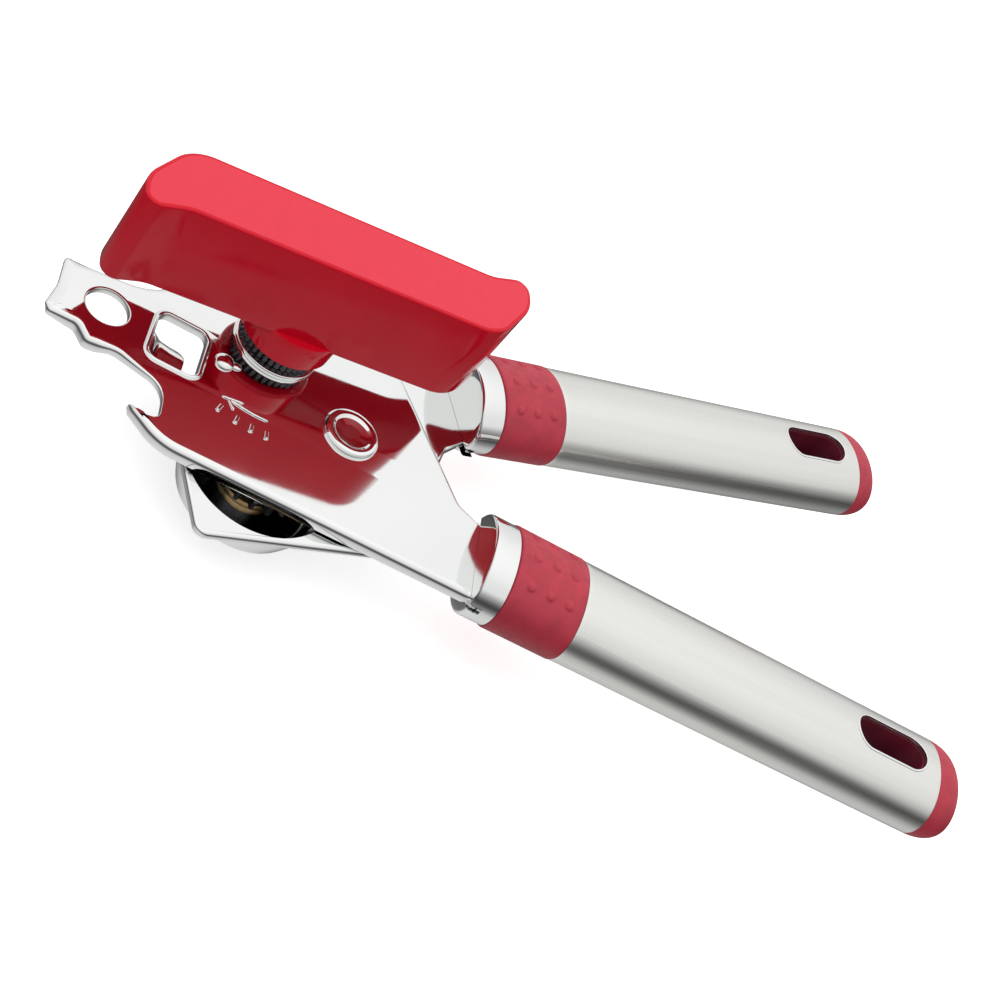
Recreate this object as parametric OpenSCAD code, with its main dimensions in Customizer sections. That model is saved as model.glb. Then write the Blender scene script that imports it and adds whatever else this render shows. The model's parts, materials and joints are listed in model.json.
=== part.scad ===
// Hand-held can opener: two plates hinged on one rivet, a long turning knob on
// the front plate, a toothed feed wheel, and a cutting wheel on the back plate.
// Millimetres. The origin is the centre of the hanging hole on the front
// plate's top face, +Z points out of that face, +X runs towards the handles.
// The part is drawn with its handles open by open_angle.

/* [Handles] */
// Length of the steel tube of one handle
tube_length = 90; // [70:1:110]
// Width of a handle, across the plates' plane
tube_width = 23; // [21:0.5:25]
// Height of a handle, through the plates' plane
tube_height = 17.1; // [15:0.5:20]
// Wall of the steel tube
tube_wall = 0.8; // [0.6:0.1:1.2]
// Length of the rubber grip ring
grip_length = 15.6; // [12:0.2:20]
// How far the grip ring stands proud of the tube
grip_proud = 0.15; // [0:0.05:0.4]
// How far the domed end cap stands out of the tube
cap_length = 7.2; // [4:0.2:9]
// Length of the hanging slot near the end of a handle
slot_length = 18.6; // [14:0.2:24]
// Width of the hanging slot
slot_width = 8.2; // [6:0.2:9]
// Metal left between the slot and the end of the tube
slot_margin = 3.7; // [2:0.1:6]
// Distance of each handle's axis from the rivet, measured across the handle
handle_offset = 14.8; // [14:0.1:17]
// Distance from the rivet to the front of the grip ring, along the handle
grip_start = 35.5; // [35:0.5:42]
// Length of the metal ferrule in front of the grip ring
ferrule_length = 5.5; // [4.5:0.1:7]
// Height of the handles' axes over the front plate's top face
handle_level = -1; // [-1.5:0.1:0]
// Angle between the handles as drawn
open_angle = 23.1; // [15:0.1:30]

/* [Plates] */
// Thickness of both plates
plate_thickness = 1.5; // [1.2:0.1:1.6]
// Depth of the front plate's turned-down rim, from its top face
rim_depth = 2.8; // [2.4:0.1:3]
// Gap between the two plates at the rivet
plate_gap = 1.7; // [1.6:0.1:2]
// Distance from the hanging hole to the rivet, along the handles
pivot_x = 50.4; // [46:0.2:54]
// Distance from the hanging hole to the rivet, across the handles
pivot_y = -0.6; // [-2:0.2:2]
// Radius of the hanging hole
hang_radius = 4.15; // [3.5:0.05:4.5]
// Width of the window beside the bottle opener
window_width = 11.8; // [10:0.2:12.4]
// Height of the window
window_height = 14; // [12:0.2:14.6]

/* [Rivet] */
// Radius of the rivet's shank
rivet_radius = 3; // [2.5:0.1:3.5]
// Radius of the rivet's dished head
rivet_head_radius = 5.8; // [5:0.1:6.4]

/* [Drive] */
// Place of the drive shaft along the handles, from the rivet
shaft_x = -18.6; // [-19.6:0.2:-18]
// Place of the drive shaft across the handles, from the rivet
shaft_y = 12.8; // [12:0.2:13.6]
// Radius of the drive shaft
shaft_radius = 2.6; // [2.2:0.1:2.8]
// Distance between the two gear axes with the handles closed
gear_distance = 19.6; // [19:0.1:20]
// Teeth on each gear
gear_teeth = 20; // [16:4:24]
// Thickness of each gear
gear_thickness = 2.5; // [2:0.1:2.6]
// Radius of the toothed feed wheel
feed_radius = 8; // [7:0.1:8.4]
// Thickness of the feed wheel
feed_thickness = 4; // [3:0.2:5]
// How far the cutting wheel overlaps the feed wheel when closed
cut_overlap = 0.6; // [0.2:0.1:1]
// Thickness of the cutting wheel
cutter_thickness = 1.4; // [1:0.1:1.8]
// Depth of the gear cup, from the back plate's top face
cup_depth = 8.8; // [8:0.2:10]

/* [Knob] */
// Length of the knob, end to end
knob_length = 79; // [66:1:90]
// Width of the knob's straight middle
knob_width = 15.7; // [14:0.1:18]
// Height of the knob's top over the plate
knob_top = 29.5; // [24:0.5:34]
// Height of the knob's underside over the plate
knob_bottom = 10; // [8:0.5:12]
// Radius of the round hub under the knob
hub_radius = 9.75; // [8.4:0.05:11]
// Angle of the knob from the handles
knob_angle = 10.7; // [0:0.1:90]

/* [Fits] */
// Radial clearance of everything that turns in a bore
running_clearance = 0.05; // [0.02:0.01:0.1]
// Gap between faces that pass each other
face_gap = 0.1; // [0.05:0.05:0.2]
// Radial room between the turning gear and the back plate's edge
sweep_room = 0.6; // [0.5:0.1:1]

/* [Hidden] */
$fn = 96;

// Heights of the stack, from the front plate's top face down
front_under = -plate_thickness;
back_top = front_under - plate_gap;
back_under = back_top - plate_thickness;
gear_top = -rim_depth - 0.3;
gear_under = gear_top - gear_thickness;
cup_floor_top = back_top - cup_depth + plate_thickness;
cup_floor_under = back_top - cup_depth;
cutter_top = cup_floor_under - 0.5;
cutter_under = cutter_top - cutter_thickness;
feed_top = cutter_under - 0.3;
feed_under = feed_top - feed_thickness;

// Handle section: the tube, and the core that fills it
tube_a = tube_width / 2;
tube_b = tube_height / 2;
core_a = tube_a - tube_wall - face_gap / 2;
core_b = tube_b - tube_wall - face_gap / 2;
tube_start = grip_start + grip_length;
tube_end = tube_start + tube_length;
ferrule_start = grip_start - ferrule_length;
mouth_start = grip_start - 3;
tang_end = tube_start + 7;
tang_width = 12;
slot_end = tube_end - slot_margin;
slot_start = slot_end - slot_length;
slot_lining = 0.4;

// Places of the two wheel axes, from the rivet, with the handles closed
shaft_reach = norm([shaft_x, shaft_y]);
shaft_bearing = atan2(shaft_y, shaft_x);
cutter_x = shaft_x + 1;
cutter_y = shaft_y - sqrt(gear_distance * gear_distance - 1);

// Gear teeth
pitch_radius = gear_distance / 2;
tooth_module = gear_distance / gear_teeth;
tip_radius = pitch_radius + tooth_module;
root_radius = pitch_radius - 1.2 * tooth_module;
tooth_pitch = 360 / gear_teeth;
sweep_radius = tip_radius + sweep_room;
widest_opening = 36;

cutter_radius = gear_distance - feed_radius + cut_overlap;
cutter_shaft_radius = 3;
cup_radius = 15.1;
// The cup is set off from the cutter's axis, away from the rivet
cup_x = cutter_x - 1.4;
cup_y = cutter_y - 1.7;
cup_wall = 0.9;
cup_taper = 2.6;

washer_radius = 8.65;
washer_height = 0.9;
collar_radius = 7.9;
collar_top = 3.9;
bushing_radius = 4.2;

// Shaft bore, gear fit and other press fits share the radius of their pin
shaft_bore = shaft_radius + running_clearance;

// ---- outlines -------------------------------------------------------------

function unit(v) = v / norm(v);

// Points of an oval with half-axes a and b
function oval(a, b, n = 48) = [for (i = [0:n - 1]) [a * cos(360 * i / n), b * sin(360 * i / n)]];

// Arc that rounds corner q between p and s with radius r
function corner_arc(p, q, s, r, n = 8) =
    let (
        u = unit(p - q), v = unit(s - q),
        half = acos(max(-1, min(1, u * v))) / 2,
        reach = min(r / tan(half), 0.49 * norm(p - q), 0.49 * norm(s - q)),
        radius = reach * tan(half),
        c = q + unit(u + v) * radius / sin(half),
        a = q + u * reach - c, b = q + v * reach - c,
        start = atan2(a[1], a[0]),
        turn = atan2(a[0] * b[1] - a[1] * b[0], a * b)
    )
    [for (i = [0:n]) c + radius * [cos(start + turn * i / n), sin(start + turn * i / n)]];

// Outline through [x, y, radius] corners, each rounded by its own radius
function rounded(corners, n = 8) =
    let (m = len(corners), flat = [for (c = corners) [c[0], c[1]]])
    [for (i = [0:m - 1])
        let (r = corners[i][2])
        each r > 0
            ? corner_arc(flat[(i + m - 1) % m], flat[i], flat[(i + 1) % m], r, n)
            : [flat[i]]];

// The same corners moved inwards by d; the corners run clockwise
function inset(corners, d) =
    let (m = len(corners))
    [for (i = [0:m - 1])
        let (
            q = [corners[i][0], corners[i][1]],
            p = [corners[(i + m - 1) % m][0], corners[(i + m - 1) % m][1]],
            s = [corners[(i + 1) % m][0], corners[(i + 1) % m][1]],
            e = unit(q - p), f = unit(s - q),
            ne = [e[1], -e[0]], nf = [f[1], -f[0]],
            bend = e[0] * f[1] - e[1] * f[0],
            moved = q + d * (ne + nf) / (1 + ne * nf),
            r = corners[i][2]
        )
        [moved[0], moved[1], bend < 0 ? max(r - d, 0.2) : r + d]];

// Places that several outlines share
lower_edge = -handle_offset - 9.2;
neck_top = -handle_offset + 9.4;
notch_x = grip_start - 71.4;

// Front plate's outline from the rivet, clockwise from the tip's top corner
front_outline = [
    [-pivot_x - 10.1, -pivot_y + 7.3, 1],
    [-pivot_x - 4, -pivot_y + 7.8, 20],
    [-44, -pivot_y + 9.4, 12],
    [shaft_x - 17, shaft_y + 8, 10],
    [shaft_x - 9, shaft_y + 13.2, 9],
    [6, shaft_y + 13.2, 4],
    [grip_start - 10.4, neck_top + 2.6, 3],
    [mouth_start, neck_top - 1.6, 0.5],
    [mouth_start, lower_edge, 0],
    [notch_x + 2, lower_edge, 11],
    [notch_x - 4.4, lower_edge + 4.4, 6],
    [notch_x - 5.9, lower_edge + 5.8, 0.5],
    [notch_x - 2.6, lower_edge + 4.6, 1.4],
    [notch_x + 0.5, lower_edge + 5.2, 2.6],
    [notch_x - 0.2, lower_edge + 12.4, 5],
    [-46, -pivot_y - 8.9, 5],
    [-49.6, -pivot_y - 9.6, 1],
    [-51.8, -pivot_y - 10, 1.4],
    [-54.4, -pivot_y - 7, 2],
    [-pivot_x - 9.2, -pivot_y - 7.2, 1],
    [-pivot_x - 10.3, -pivot_y - 5.6, 1.2],
    [-pivot_x - 9.5, -pivot_y, 12]
];

// Back plate's outline from the rivet, with the handles closed
back_outline = [
    [cup_x - cup_radius - 0.8, cutter_y + 11, 4],
    [-12, cutter_y + 11, 4],
    [-2, 24.2, 5],
    [mouth_start, 24.2, 0.5],
    [mouth_start, -neck_top + 1.6, 0.5],
    [grip_start - 10.4, -neck_top - 2.6, 3],
    [6, cup_y - cup_radius - 1.1, 4],
    [cup_x - cup_radius - 0.8, cup_y - cup_radius - 1.1, 2.2]
];

// Right half of the knob's outline, seen from above; the other half is the
// same turned by half a turn, so the two ends sweep opposite ways
knob_half = [
    [knob_length / 2 - 8, -knob_width / 2 - 0.1, 9],
    [knob_length / 2 + 0.1, 3.2, 10],
    [knob_length / 2 - 0.1, knob_width / 2 + 3.05, 2.6],
    [knob_length / 2 - 8.5, knob_width / 2, 10]
];
knob_outline = concat(knob_half, [for (c = knob_half) [-c[0], -c[1], c[2]]]);
knob_reversed = [for (i = [len(knob_outline) - 1:-1:0]) knob_outline[i]];

// ---- placing --------------------------------------------------------------

module from_pivot() translate([pivot_x, pivot_y, 0]) children();

module back_frame() from_pivot() rotate([0, 0, open_angle]) children();

module knob_frame() from_pivot() translate([shaft_x, shaft_y, 0]) children();

module cutter_frame() back_frame() translate([cutter_x, cutter_y, 0]) children();

// Frame of a handle: x along it from the rivet's foot, z from its own axis
module handle_frame(side) translate([0, side * handle_offset, handle_level]) children();

module lower_frame() from_pivot() handle_frame(-1) children();

module upper_frame() back_frame() handle_frame(1) children();

// Slab between two heights with the given outline
module slab(points, low, high)
    translate([0, 0, low]) linear_extrude(high - low) polygon(points);

module disc(radius, low, high, bore = 0)
    translate([0, 0, low])
        if (bore > 0)
            difference() {
                cylinder(r = radius, h = high - low);
                translate([0, 0, -1]) cylinder(r = bore, h = high - low + 2);
            }
        else
            cylinder(r = radius, h = high - low);

// Prism of oval section along +X
module oval_bar(a, b, from, to)
    translate([from, 0, 0]) rotate([90, 0, 90]) linear_extrude(to - from) polygon(oval(a, b));

// Slot with round ends through a handle, from side to side in Z
module handle_slot(from, to, width) {
    r = width / 2;
    for (x = [from + r, to - r]) translate([x, 0, -tube_b - 2]) cylinder(r = r, h = tube_height + 4);
    translate([from + r, -r, -tube_b - 2]) cube([to - from - width, width, tube_height + 4]);
}

function heading(a) = [cos(a), sin(a)];

// Curved slot with round ends that a disc of this radius, on the shaft's axis,
// sweeps in the back plate while the handles open
function swept_slot(radius, n = 16) =
    let (e = shaft_bearing, s = e - widest_opening, span = widest_opening / n)
    concat(
        [for (i = [0:n]) (shaft_reach + radius) * heading(s + span * i)],
        [for (i = [1:n - 1]) shaft_reach * heading(e) + radius * heading(e + 180 * i / n)],
        [for (i = [0:n]) (shaft_reach - radius) * heading(e - span * i)],
        [for (i = [1:n - 1]) shaft_reach * heading(s) - radius * heading(s + 180 * i / n)]
    );

// Spur gear with straight-sided teeth; a tooth points along phase
module gear(low, high, phase, bore) {
    half_root = tooth_pitch * 0.34;
    half_tip = tooth_pitch * 0.13;
    difference() {
        translate([0, 0, low]) linear_extrude(high - low) polygon([
            for (i = [0:gear_teeth - 1])
                let (a = phase + i * tooth_pitch)
                each [
                    root_radius * [cos(a - half_root), sin(a - half_root)],
                    tip_radius * [cos(a - half_tip), sin(a - half_tip)],
                    tip_radius * [cos(a + half_tip), sin(a + half_tip)],
                    root_radius * [cos(a + half_root), sin(a + half_root)]
                ]
        ]);
        translate([0, 0, low - 1]) cylinder(r = bore, h = high - low + 2);
    }
}

// ---- front plate and what it carries --------------------------------------

module hang_hole() translate([-pivot_x, -pivot_y, -5]) cylinder(r = hang_radius, h = 10);

// Corner list of the window, centred on its place, grown by d
function window(d) =
    let (w = window_width / 2 + d, h = window_height / 2 + d)
    [for (c = [[-1, 1], [1, 1], [1, -1], [-1, -1]]) [-36.3 + c[0] * w, c[1] * h, 3 + d]];

// Rim's inner edge; the bottle opener's mouth has no rim
rim_wall = 1.1;
full_inset = inset(front_outline, rim_wall);
rim_inside = [
    each [for (i = [0:9]) full_inset[i]],
    [notch_x - 3.6, lower_edge + 4.7, 0],
    each [for (i = [15:21]) full_inset[i]]
];

module front_plate() color([0.86, 0.87, 0.86]) from_pivot() {
    difference() {
        union() {
            slab(rounded(front_outline), front_under, 0);
            difference() {
                slab(rounded(front_outline), -rim_depth, front_under);
                slab(rounded(rim_inside), -rim_depth - 1, front_under + 1);
                translate([ferrule_start - 0.3, -60, -6]) cube([20, 90, 8]);
            }
            slab(rounded(window(0)), front_under, 0.5);
            // tang inside the lower handle
            translate([mouth_start - 1, -handle_offset - tang_width / 2, front_under])
                cube([tang_end - mouth_start + 1, tang_width, plate_thickness]);
            // stop bump beside the window
            translate([-27.2, 1.6, -0.6]) sphere(r = 2.1, $fn = 48);
        }
        slab(rounded(window(-1.1)), -5, 5);
        translate([-31, -3, -7]) cube([9, 9, 7 - plate_thickness]);
        hang_hole();
        translate([0, 0, -5]) cylinder(r = rivet_radius, h = 10);
        translate([shaft_x, shaft_y, -5]) cylinder(r = bushing_radius, h = 10);
    }
    window_tongue();
    turning_arrow();
}

// Tongue bent down from the window's left side
module window_tongue()
    translate([-36.3 - window_width / 2 + 0.6, -5.6, 0]) rotate([90, 0, 0]) mirror([0, 0, 1])
        linear_extrude(6.4)
            polygon([[0, 0], [2.6, -1.2], [7.2, -1.2], [7.2, -2.4], [2.2, -2.4], [0, -1.4]]);

// Raised arrow round the shaft that shows which way to turn, and four marks
module turning_arrow() translate([shaft_x, shaft_y, -0.2]) {
    reach = 20.2;
    relief = 0.5;
    rotate([0, 0, -104]) rotate_extrude(angle = 22) translate([reach - 0.3, 0]) square([0.6, relief]);
    for (spread = [-32, 32])
        rotate([0, 0, -105]) translate([reach, 0, 0]) rotate([0, 0, 90 + spread])
            translate([-0.2, -0.3, 0]) cube([3, 0.6, relief]);
    for (a = [-104:7:-83])
        rotate([0, 0, a]) translate([reach + 3, -0.35, 0]) cube([2, 0.7, relief]);
}

module pivot_rivet() color([0.82, 0.82, 0.8]) from_pivot() rotate_extrude() polygon([
    [0, back_under - 1.4], [rivet_head_radius - 1.8, back_under - 1.4],
    [rivet_head_radius - 1.2, back_under - 0.9], [rivet_head_radius - 1.2, back_under - face_gap],
    [rivet_radius, back_under - face_gap], [rivet_radius, 0],
    [rivet_head_radius, 0], [rivet_head_radius, 0.5], [rivet_head_radius - 0.5, 1.1],
    [rivet_head_radius - 1.1, 1.1], [rivet_head_radius - 1.7, 0.5], [2.4, 0.5], [0, 0.35]
]);

module pivot_washer() color([0.7, 0.7, 0.68]) from_pivot()
    disc(rivet_head_radius, back_top + face_gap, front_under, rivet_radius);

module shaft_bushing() color([0.74, 0.7, 0.6]) knob_frame() difference() {
    union() {
        disc(bushing_radius, gear_top + face_gap, washer_height);
        disc(6.4, gear_top + face_gap, front_under);
    }
    translate([0, 0, -6]) cylinder(r = shaft_bore, h = 12);
}

module shaft_washer() color([0.85, 0.85, 0.84]) knob_frame()
    disc(washer_radius, 0, washer_height, bushing_radius);

// ---- handles --------------------------------------------------------------

// Collar that closes the front of a handle; plate_z is the middle of the plate
// that enters it through a slot as wide as the handle, from the handle's axis
module ferrule(plate_z) {
    plate_low = plate_z - plate_thickness / 2;
    difference() {
        oval_bar(tube_a - 0.15, tube_b - 0.15, ferrule_start, grip_start);
        translate([ferrule_start - 1, -tube_a, plate_low])
            cube([mouth_start - ferrule_start + 1, tube_width, plate_thickness]);
        translate([mouth_start - 1, -tang_width / 2, plate_low])
            cube([ferrule_length, tang_width, plate_thickness]);
    }
}

// Rubber ring with rows of small raised dots
module grip_ring() {
    a = tube_a + grip_proud;
    b = tube_b + grip_proud;
    dot_radius = 1;
    rows = 11;
    difference() {
        union() {
            oval_bar(a, b, grip_start, tube_start);
            for (i = [0:rows - 1], j = [0:2])
                let (t = 90 + 360 * i / rows, n = unit([cos(t) / a, sin(t) / b]))
                    translate([grip_start + 3.2 + 4.6 * j, a * cos(t) - 0.7 * n[0], b * sin(t) - 0.7 * n[1]])
                        sphere(r = dot_radius, $fn = 24);
        }
        oval_bar(core_a, core_b, grip_start - 1, tube_start + 1);
    }
}

module handle_tube() difference() {
    oval_bar(tube_a, tube_b, tube_start, tube_end);
    oval_bar(tube_a - tube_wall, tube_b - tube_wall, tube_start - 1, tube_end + 1);
    handle_slot(slot_start, slot_end, slot_width);
}

module handle_core(plate_z) difference() {
    oval_bar(core_a, core_b, grip_start, tube_end - face_gap);
    handle_slot(slot_start + slot_lining, slot_end - slot_lining, slot_width - 2 * slot_lining);
    translate([grip_start - 1, -tang_width / 2, plate_z - plate_thickness / 2])
        cube([tang_end - grip_start + 1, tang_width, plate_thickness]);
}

// Domed cap: ovals that shrink along a quarter of an ellipse
module end_cap() {
    rim = 0.8;
    drop = 3;
    hull() {
        oval_bar(tube_a + 0.1, tube_b + 0.1, tube_end, tube_end + rim);
        for (t = [15:15:90])
            oval_bar(tube_a - drop * (1 - cos(t)), tube_b - drop * (1 - cos(t)),
                     tube_end + rim, tube_end + rim + (cap_length - rim) * sin(t));
    }
}

front_plate_z = front_under + plate_thickness / 2 - handle_level;
back_plate_z = back_under + plate_thickness / 2 - handle_level;

module lower_ferrule() color([0.84, 0.84, 0.82]) lower_frame() ferrule(front_plate_z);
module lower_grip_ring() color([0.7, 0.1, 0.18]) lower_frame() grip_ring();
module lower_handle_tube() color([0.82, 0.82, 0.8]) lower_frame() handle_tube();
module lower_handle_core() color([0.4, 0.05, 0.1]) lower_frame() handle_core(front_plate_z);
module lower_end_cap() color([0.7, 0.1, 0.18]) lower_frame() end_cap();

module upper_ferrule() color([0.84, 0.84, 0.82]) upper_frame() ferrule(back_plate_z);
module upper_grip_ring() color([0.7, 0.1, 0.18]) upper_frame() grip_ring();
module upper_handle_tube() color([0.82, 0.82, 0.8]) upper_frame() handle_tube();
module upper_handle_core() color([0.4, 0.05, 0.1]) upper_frame() handle_core(back_plate_z);
module upper_end_cap() color([0.7, 0.1, 0.18]) upper_frame() end_cap();

// ---- back plate with its gear cup ------------------------------------------

module back_plate() color([0.86, 0.87, 0.86]) back_frame() difference() {
    union() {
        slab(rounded(back_outline), back_under, back_top);
        translate([mouth_start - 1, handle_offset - tang_width / 2, back_under])
            cube([tang_end - mouth_start + 1, tang_width, plate_thickness]);
        translate([cup_x, cup_y, 0]) rotate_extrude() polygon([
            [0, cup_floor_under], [cup_radius + cup_wall - cup_taper - 1, cup_floor_under],
            [cup_radius + cup_wall - cup_taper, cup_floor_under + 1],
            [cup_radius + cup_wall, back_under], [cup_radius + 0.3, back_under],
            [cup_radius + 0.3, back_under + 0.3], [0, back_under + 0.3]
        ]);
    }
    translate([cup_x, cup_y, 0]) rotate_extrude() polygon([
        [0, cup_floor_top], [cup_radius - cup_taper - 0.6, cup_floor_top],
        [cup_radius - cup_taper, cup_floor_top + 0.6], [cup_radius - 0.3, back_top - 1],
        [cup_radius, back_top - 0.3], [cup_radius + 0.3, back_top + 0.5], [0, back_top + 0.5]
    ]);
    translate([cutter_x, cutter_y, -20]) cylinder(r = cutter_shaft_radius + 1.6, h = 20);
    slab(swept_slot(sweep_radius), gear_under - 0.4, back_top + 1);
    slab(swept_slot(shaft_radius + sweep_room), cup_floor_under - 1, back_top);
    translate([0, 0, -20]) cylinder(r = rivet_radius + running_clearance, h = 20);
}

module cutter_bushing() color([0.74, 0.7, 0.6]) cutter_frame() difference() {
    union() {
        disc(cutter_shaft_radius + 1.6, cup_floor_under, cup_floor_top);
        disc(6, cup_floor_top, cup_floor_top + 1.2);
    }
    translate([0, 0, -20]) cylinder(r = cutter_shaft_radius + running_clearance, h = 20);
}

// ---- knob and what turns with it -------------------------------------------

module turn_knob() color([0.85, 0.12, 0.2]) knob_frame() difference() {
    union() {
        rotate([0, 0, knob_angle]) slab(rounded(knob_reversed, 10), knob_bottom, knob_top);
        disc(hub_radius, collar_top + face_gap / 2, knob_bottom + 1);
    }
    cylinder(r = shaft_radius, h = knob_bottom + 8);
}

module knurled_collar() color([0.2, 0.2, 0.2]) knob_frame() difference() {
    ridges = 36;
    slab([
        for (i = [0:ridges - 1])
            let (a = 360 * i / ridges)
            each [
                (collar_radius - 0.6) * [cos(a - 2.5), sin(a - 2.5)],
                collar_radius * [cos(a - 1.5), sin(a - 1.5)],
                collar_radius * [cos(a + 1.5), sin(a + 1.5)],
                (collar_radius - 0.6) * [cos(a + 2.5), sin(a + 2.5)]
            ]
    ], washer_height + face_gap, collar_top);
    translate([0, 0, -1]) cylinder(r = shaft_radius, h = 8);
}

module drive_shaft() color([0.7, 0.7, 0.68]) knob_frame()
    disc(shaft_radius, feed_under - 1.9, knob_bottom + 7.5);

module drive_gear() color([0.5, 0.5, 0.48]) knob_frame()
    gear(gear_under, gear_top, -90 + asin(1 / gear_distance), shaft_radius);

module feed_wheel() color([0.55, 0.55, 0.53]) knob_frame() difference() {
    teeth = 24;
    translate([0, 0, feed_under]) linear_extrude(feed_thickness) polygon([
        for (i = [0:teeth - 1], s = [0, 1])
            let (a = 360 * (i + s / 2) / teeth, r = feed_radius - 0.9 * s) [r * cos(a), r * sin(a)]
    ]);
    translate([0, 0, feed_under - 1]) cylinder(r = shaft_radius, h = feed_thickness + 2);
}

module shaft_nut() color([0.66, 0.66, 0.64]) knob_frame() difference() {
    disc(4.6, feed_under - 2.4, feed_under);
    disc(shaft_radius, feed_under - 1.9, feed_under + 1);
}

// ---- cutting wheel and what turns with it ----------------------------------

module driven_gear() color([0.5, 0.5, 0.48]) cutter_frame() {
    facing = 90 + asin(1 / gear_distance) + tooth_pitch / 2;
    gear(gear_under, gear_top, facing, cutter_shaft_radius);
    disc(5.2, cup_floor_top + 1.2 + face_gap, gear_under, cutter_shaft_radius);
}

module cutter_shaft() color([0.7, 0.7, 0.68]) cutter_frame()
    disc(cutter_shaft_radius, cutter_under - 1.9, gear_top);

module cutting_wheel() color([0.75, 0.75, 0.73]) cutter_frame() rotate_extrude() polygon([
    [cutter_shaft_radius, cutter_under], [cutter_radius - 0.3, cutter_under],
    [cutter_radius, cutter_under + 0.15], [cutter_radius - 1.6, cutter_top],
    [cutter_radius - 5, cutter_top], [cutter_radius - 5, cutter_top + 0.3],
    [cutter_shaft_radius, cutter_top + 0.3]
]);

module cutter_nut() color([0.66, 0.66, 0.64]) cutter_frame() difference() {
    translate([0, 0, cutter_under - 2.4]) cylinder(r = 4.6, h = 2.4, $fn = 6);
    disc(cutter_shaft_radius, cutter_under - 1.9, cutter_under + 1);
}

front_plate();
pivot_rivet();
pivot_washer();
shaft_bushing();
shaft_washer();
lower_ferrule();
lower_grip_ring();
lower_handle_tube();
lower_handle_core();
lower_end_cap();
back_plate();
cutter_bushing();
upper_ferrule();
upper_grip_ring();
upper_handle_tube();
upper_handle_core();
upper_end_cap();
turn_knob();
knurled_collar();
drive_shaft();
drive_gear();
feed_wheel();
shaft_nut();
driven_gear();
cutter_shaft();
cutting_wheel();
cutter_nut();
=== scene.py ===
"""Finished looks for a hand-held can opener, laid out as an add-on.

Each operator builds one piece, or a group of like pieces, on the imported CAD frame.
Sizes inside the shape functions are in millimetres; meshes are made in metres.
"""
import json
import math

import bmesh
import bpy
import numpy as np
from mathutils import Euler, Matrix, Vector
from mathutils.geometry import tessellate_polygon


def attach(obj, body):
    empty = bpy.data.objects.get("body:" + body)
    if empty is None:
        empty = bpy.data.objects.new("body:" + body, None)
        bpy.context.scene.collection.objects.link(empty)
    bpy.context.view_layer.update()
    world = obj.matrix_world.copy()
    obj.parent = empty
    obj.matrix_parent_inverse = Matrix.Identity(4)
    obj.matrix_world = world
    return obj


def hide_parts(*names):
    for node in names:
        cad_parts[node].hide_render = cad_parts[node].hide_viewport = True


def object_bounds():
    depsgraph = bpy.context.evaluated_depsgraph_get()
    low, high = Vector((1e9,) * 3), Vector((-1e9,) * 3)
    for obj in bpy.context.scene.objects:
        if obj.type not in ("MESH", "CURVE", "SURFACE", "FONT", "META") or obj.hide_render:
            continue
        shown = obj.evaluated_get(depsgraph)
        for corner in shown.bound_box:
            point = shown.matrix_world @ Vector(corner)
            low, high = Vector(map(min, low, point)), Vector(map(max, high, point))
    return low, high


bl_info = {
    "name": "Can Opener Looks",
    "version": (1, 0, 0),
    "blender": (4, 5, 0),
    "location": "View3D > Sidebar > Can Opener",
    "description": "Builds the finished pieces and materials of a hand-held can opener",
    "category": "Object",
}

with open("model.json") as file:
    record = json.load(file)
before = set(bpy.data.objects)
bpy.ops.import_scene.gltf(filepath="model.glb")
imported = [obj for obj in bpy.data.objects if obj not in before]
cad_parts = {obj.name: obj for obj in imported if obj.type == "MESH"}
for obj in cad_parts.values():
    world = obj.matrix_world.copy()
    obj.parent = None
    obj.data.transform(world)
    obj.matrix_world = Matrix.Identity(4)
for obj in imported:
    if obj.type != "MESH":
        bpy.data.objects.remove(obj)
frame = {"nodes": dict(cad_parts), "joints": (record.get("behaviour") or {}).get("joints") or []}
CAD_BOX = [list(map(float, corner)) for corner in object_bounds()]

MM = 0.001
JOINTS = {joint["name"]: joint for joint in frame["joints"]}
PIVOT = np.array(JOINTS["handle_pivot"]["pos_m"][:2])
SHAFT = np.array(JOINTS["knob_spin"]["pos_m"][:2])
SPINDLE = np.array(JOINTS["cutter_spin"]["pos_m"][:2])
OPENING = math.radians(JOINTS["handle_pivot"]["range_deg"][1])
HANDLE_OFFSET, HANDLE_LEVEL = 14.8, -1.0
UNDER, BACK_FACE, BACK_UNDER = -1.5, -3.2, -4.7
GEAR_GAP = 19.6
SHAFT_XY = np.array([-18.6, 12.8])


# ---- placing ---------------------------------------------------------------

def placed(points, origin, turn=0.0, level=0.0):
    """Points in millimetres, turned by turn about Z, lifted by level and moved to origin; in metres."""
    c, s = math.cos(turn), math.sin(turn)
    x, y, z = np.moveaxis(np.asarray(points, float), -1, 0) * MM
    return np.stack([c * x - s * y + origin[0], s * x + c * y + origin[1], z + level * MM], axis=-1)


def handle_place(side):
    """Origin, turn and level of a handle's own frame: side -1 is the lower handle, 1 the upper one."""
    turn = OPENING if side > 0 else 0.0
    offset = side * HANDLE_OFFSET * MM
    return PIVOT + offset * np.array([-math.sin(turn), math.cos(turn)]), turn, HANDLE_LEVEL


FRONT = (PIVOT, 0.0, 0.0)
BACK = (PIVOT, OPENING, 0.0)
AT_SHAFT = (SHAFT, 0.0, 0.0)
AT_SPINDLE = (SPINDLE, 0.0, 0.0)


# ---- shells: (points, list of face arrays) ---------------------------------

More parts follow.
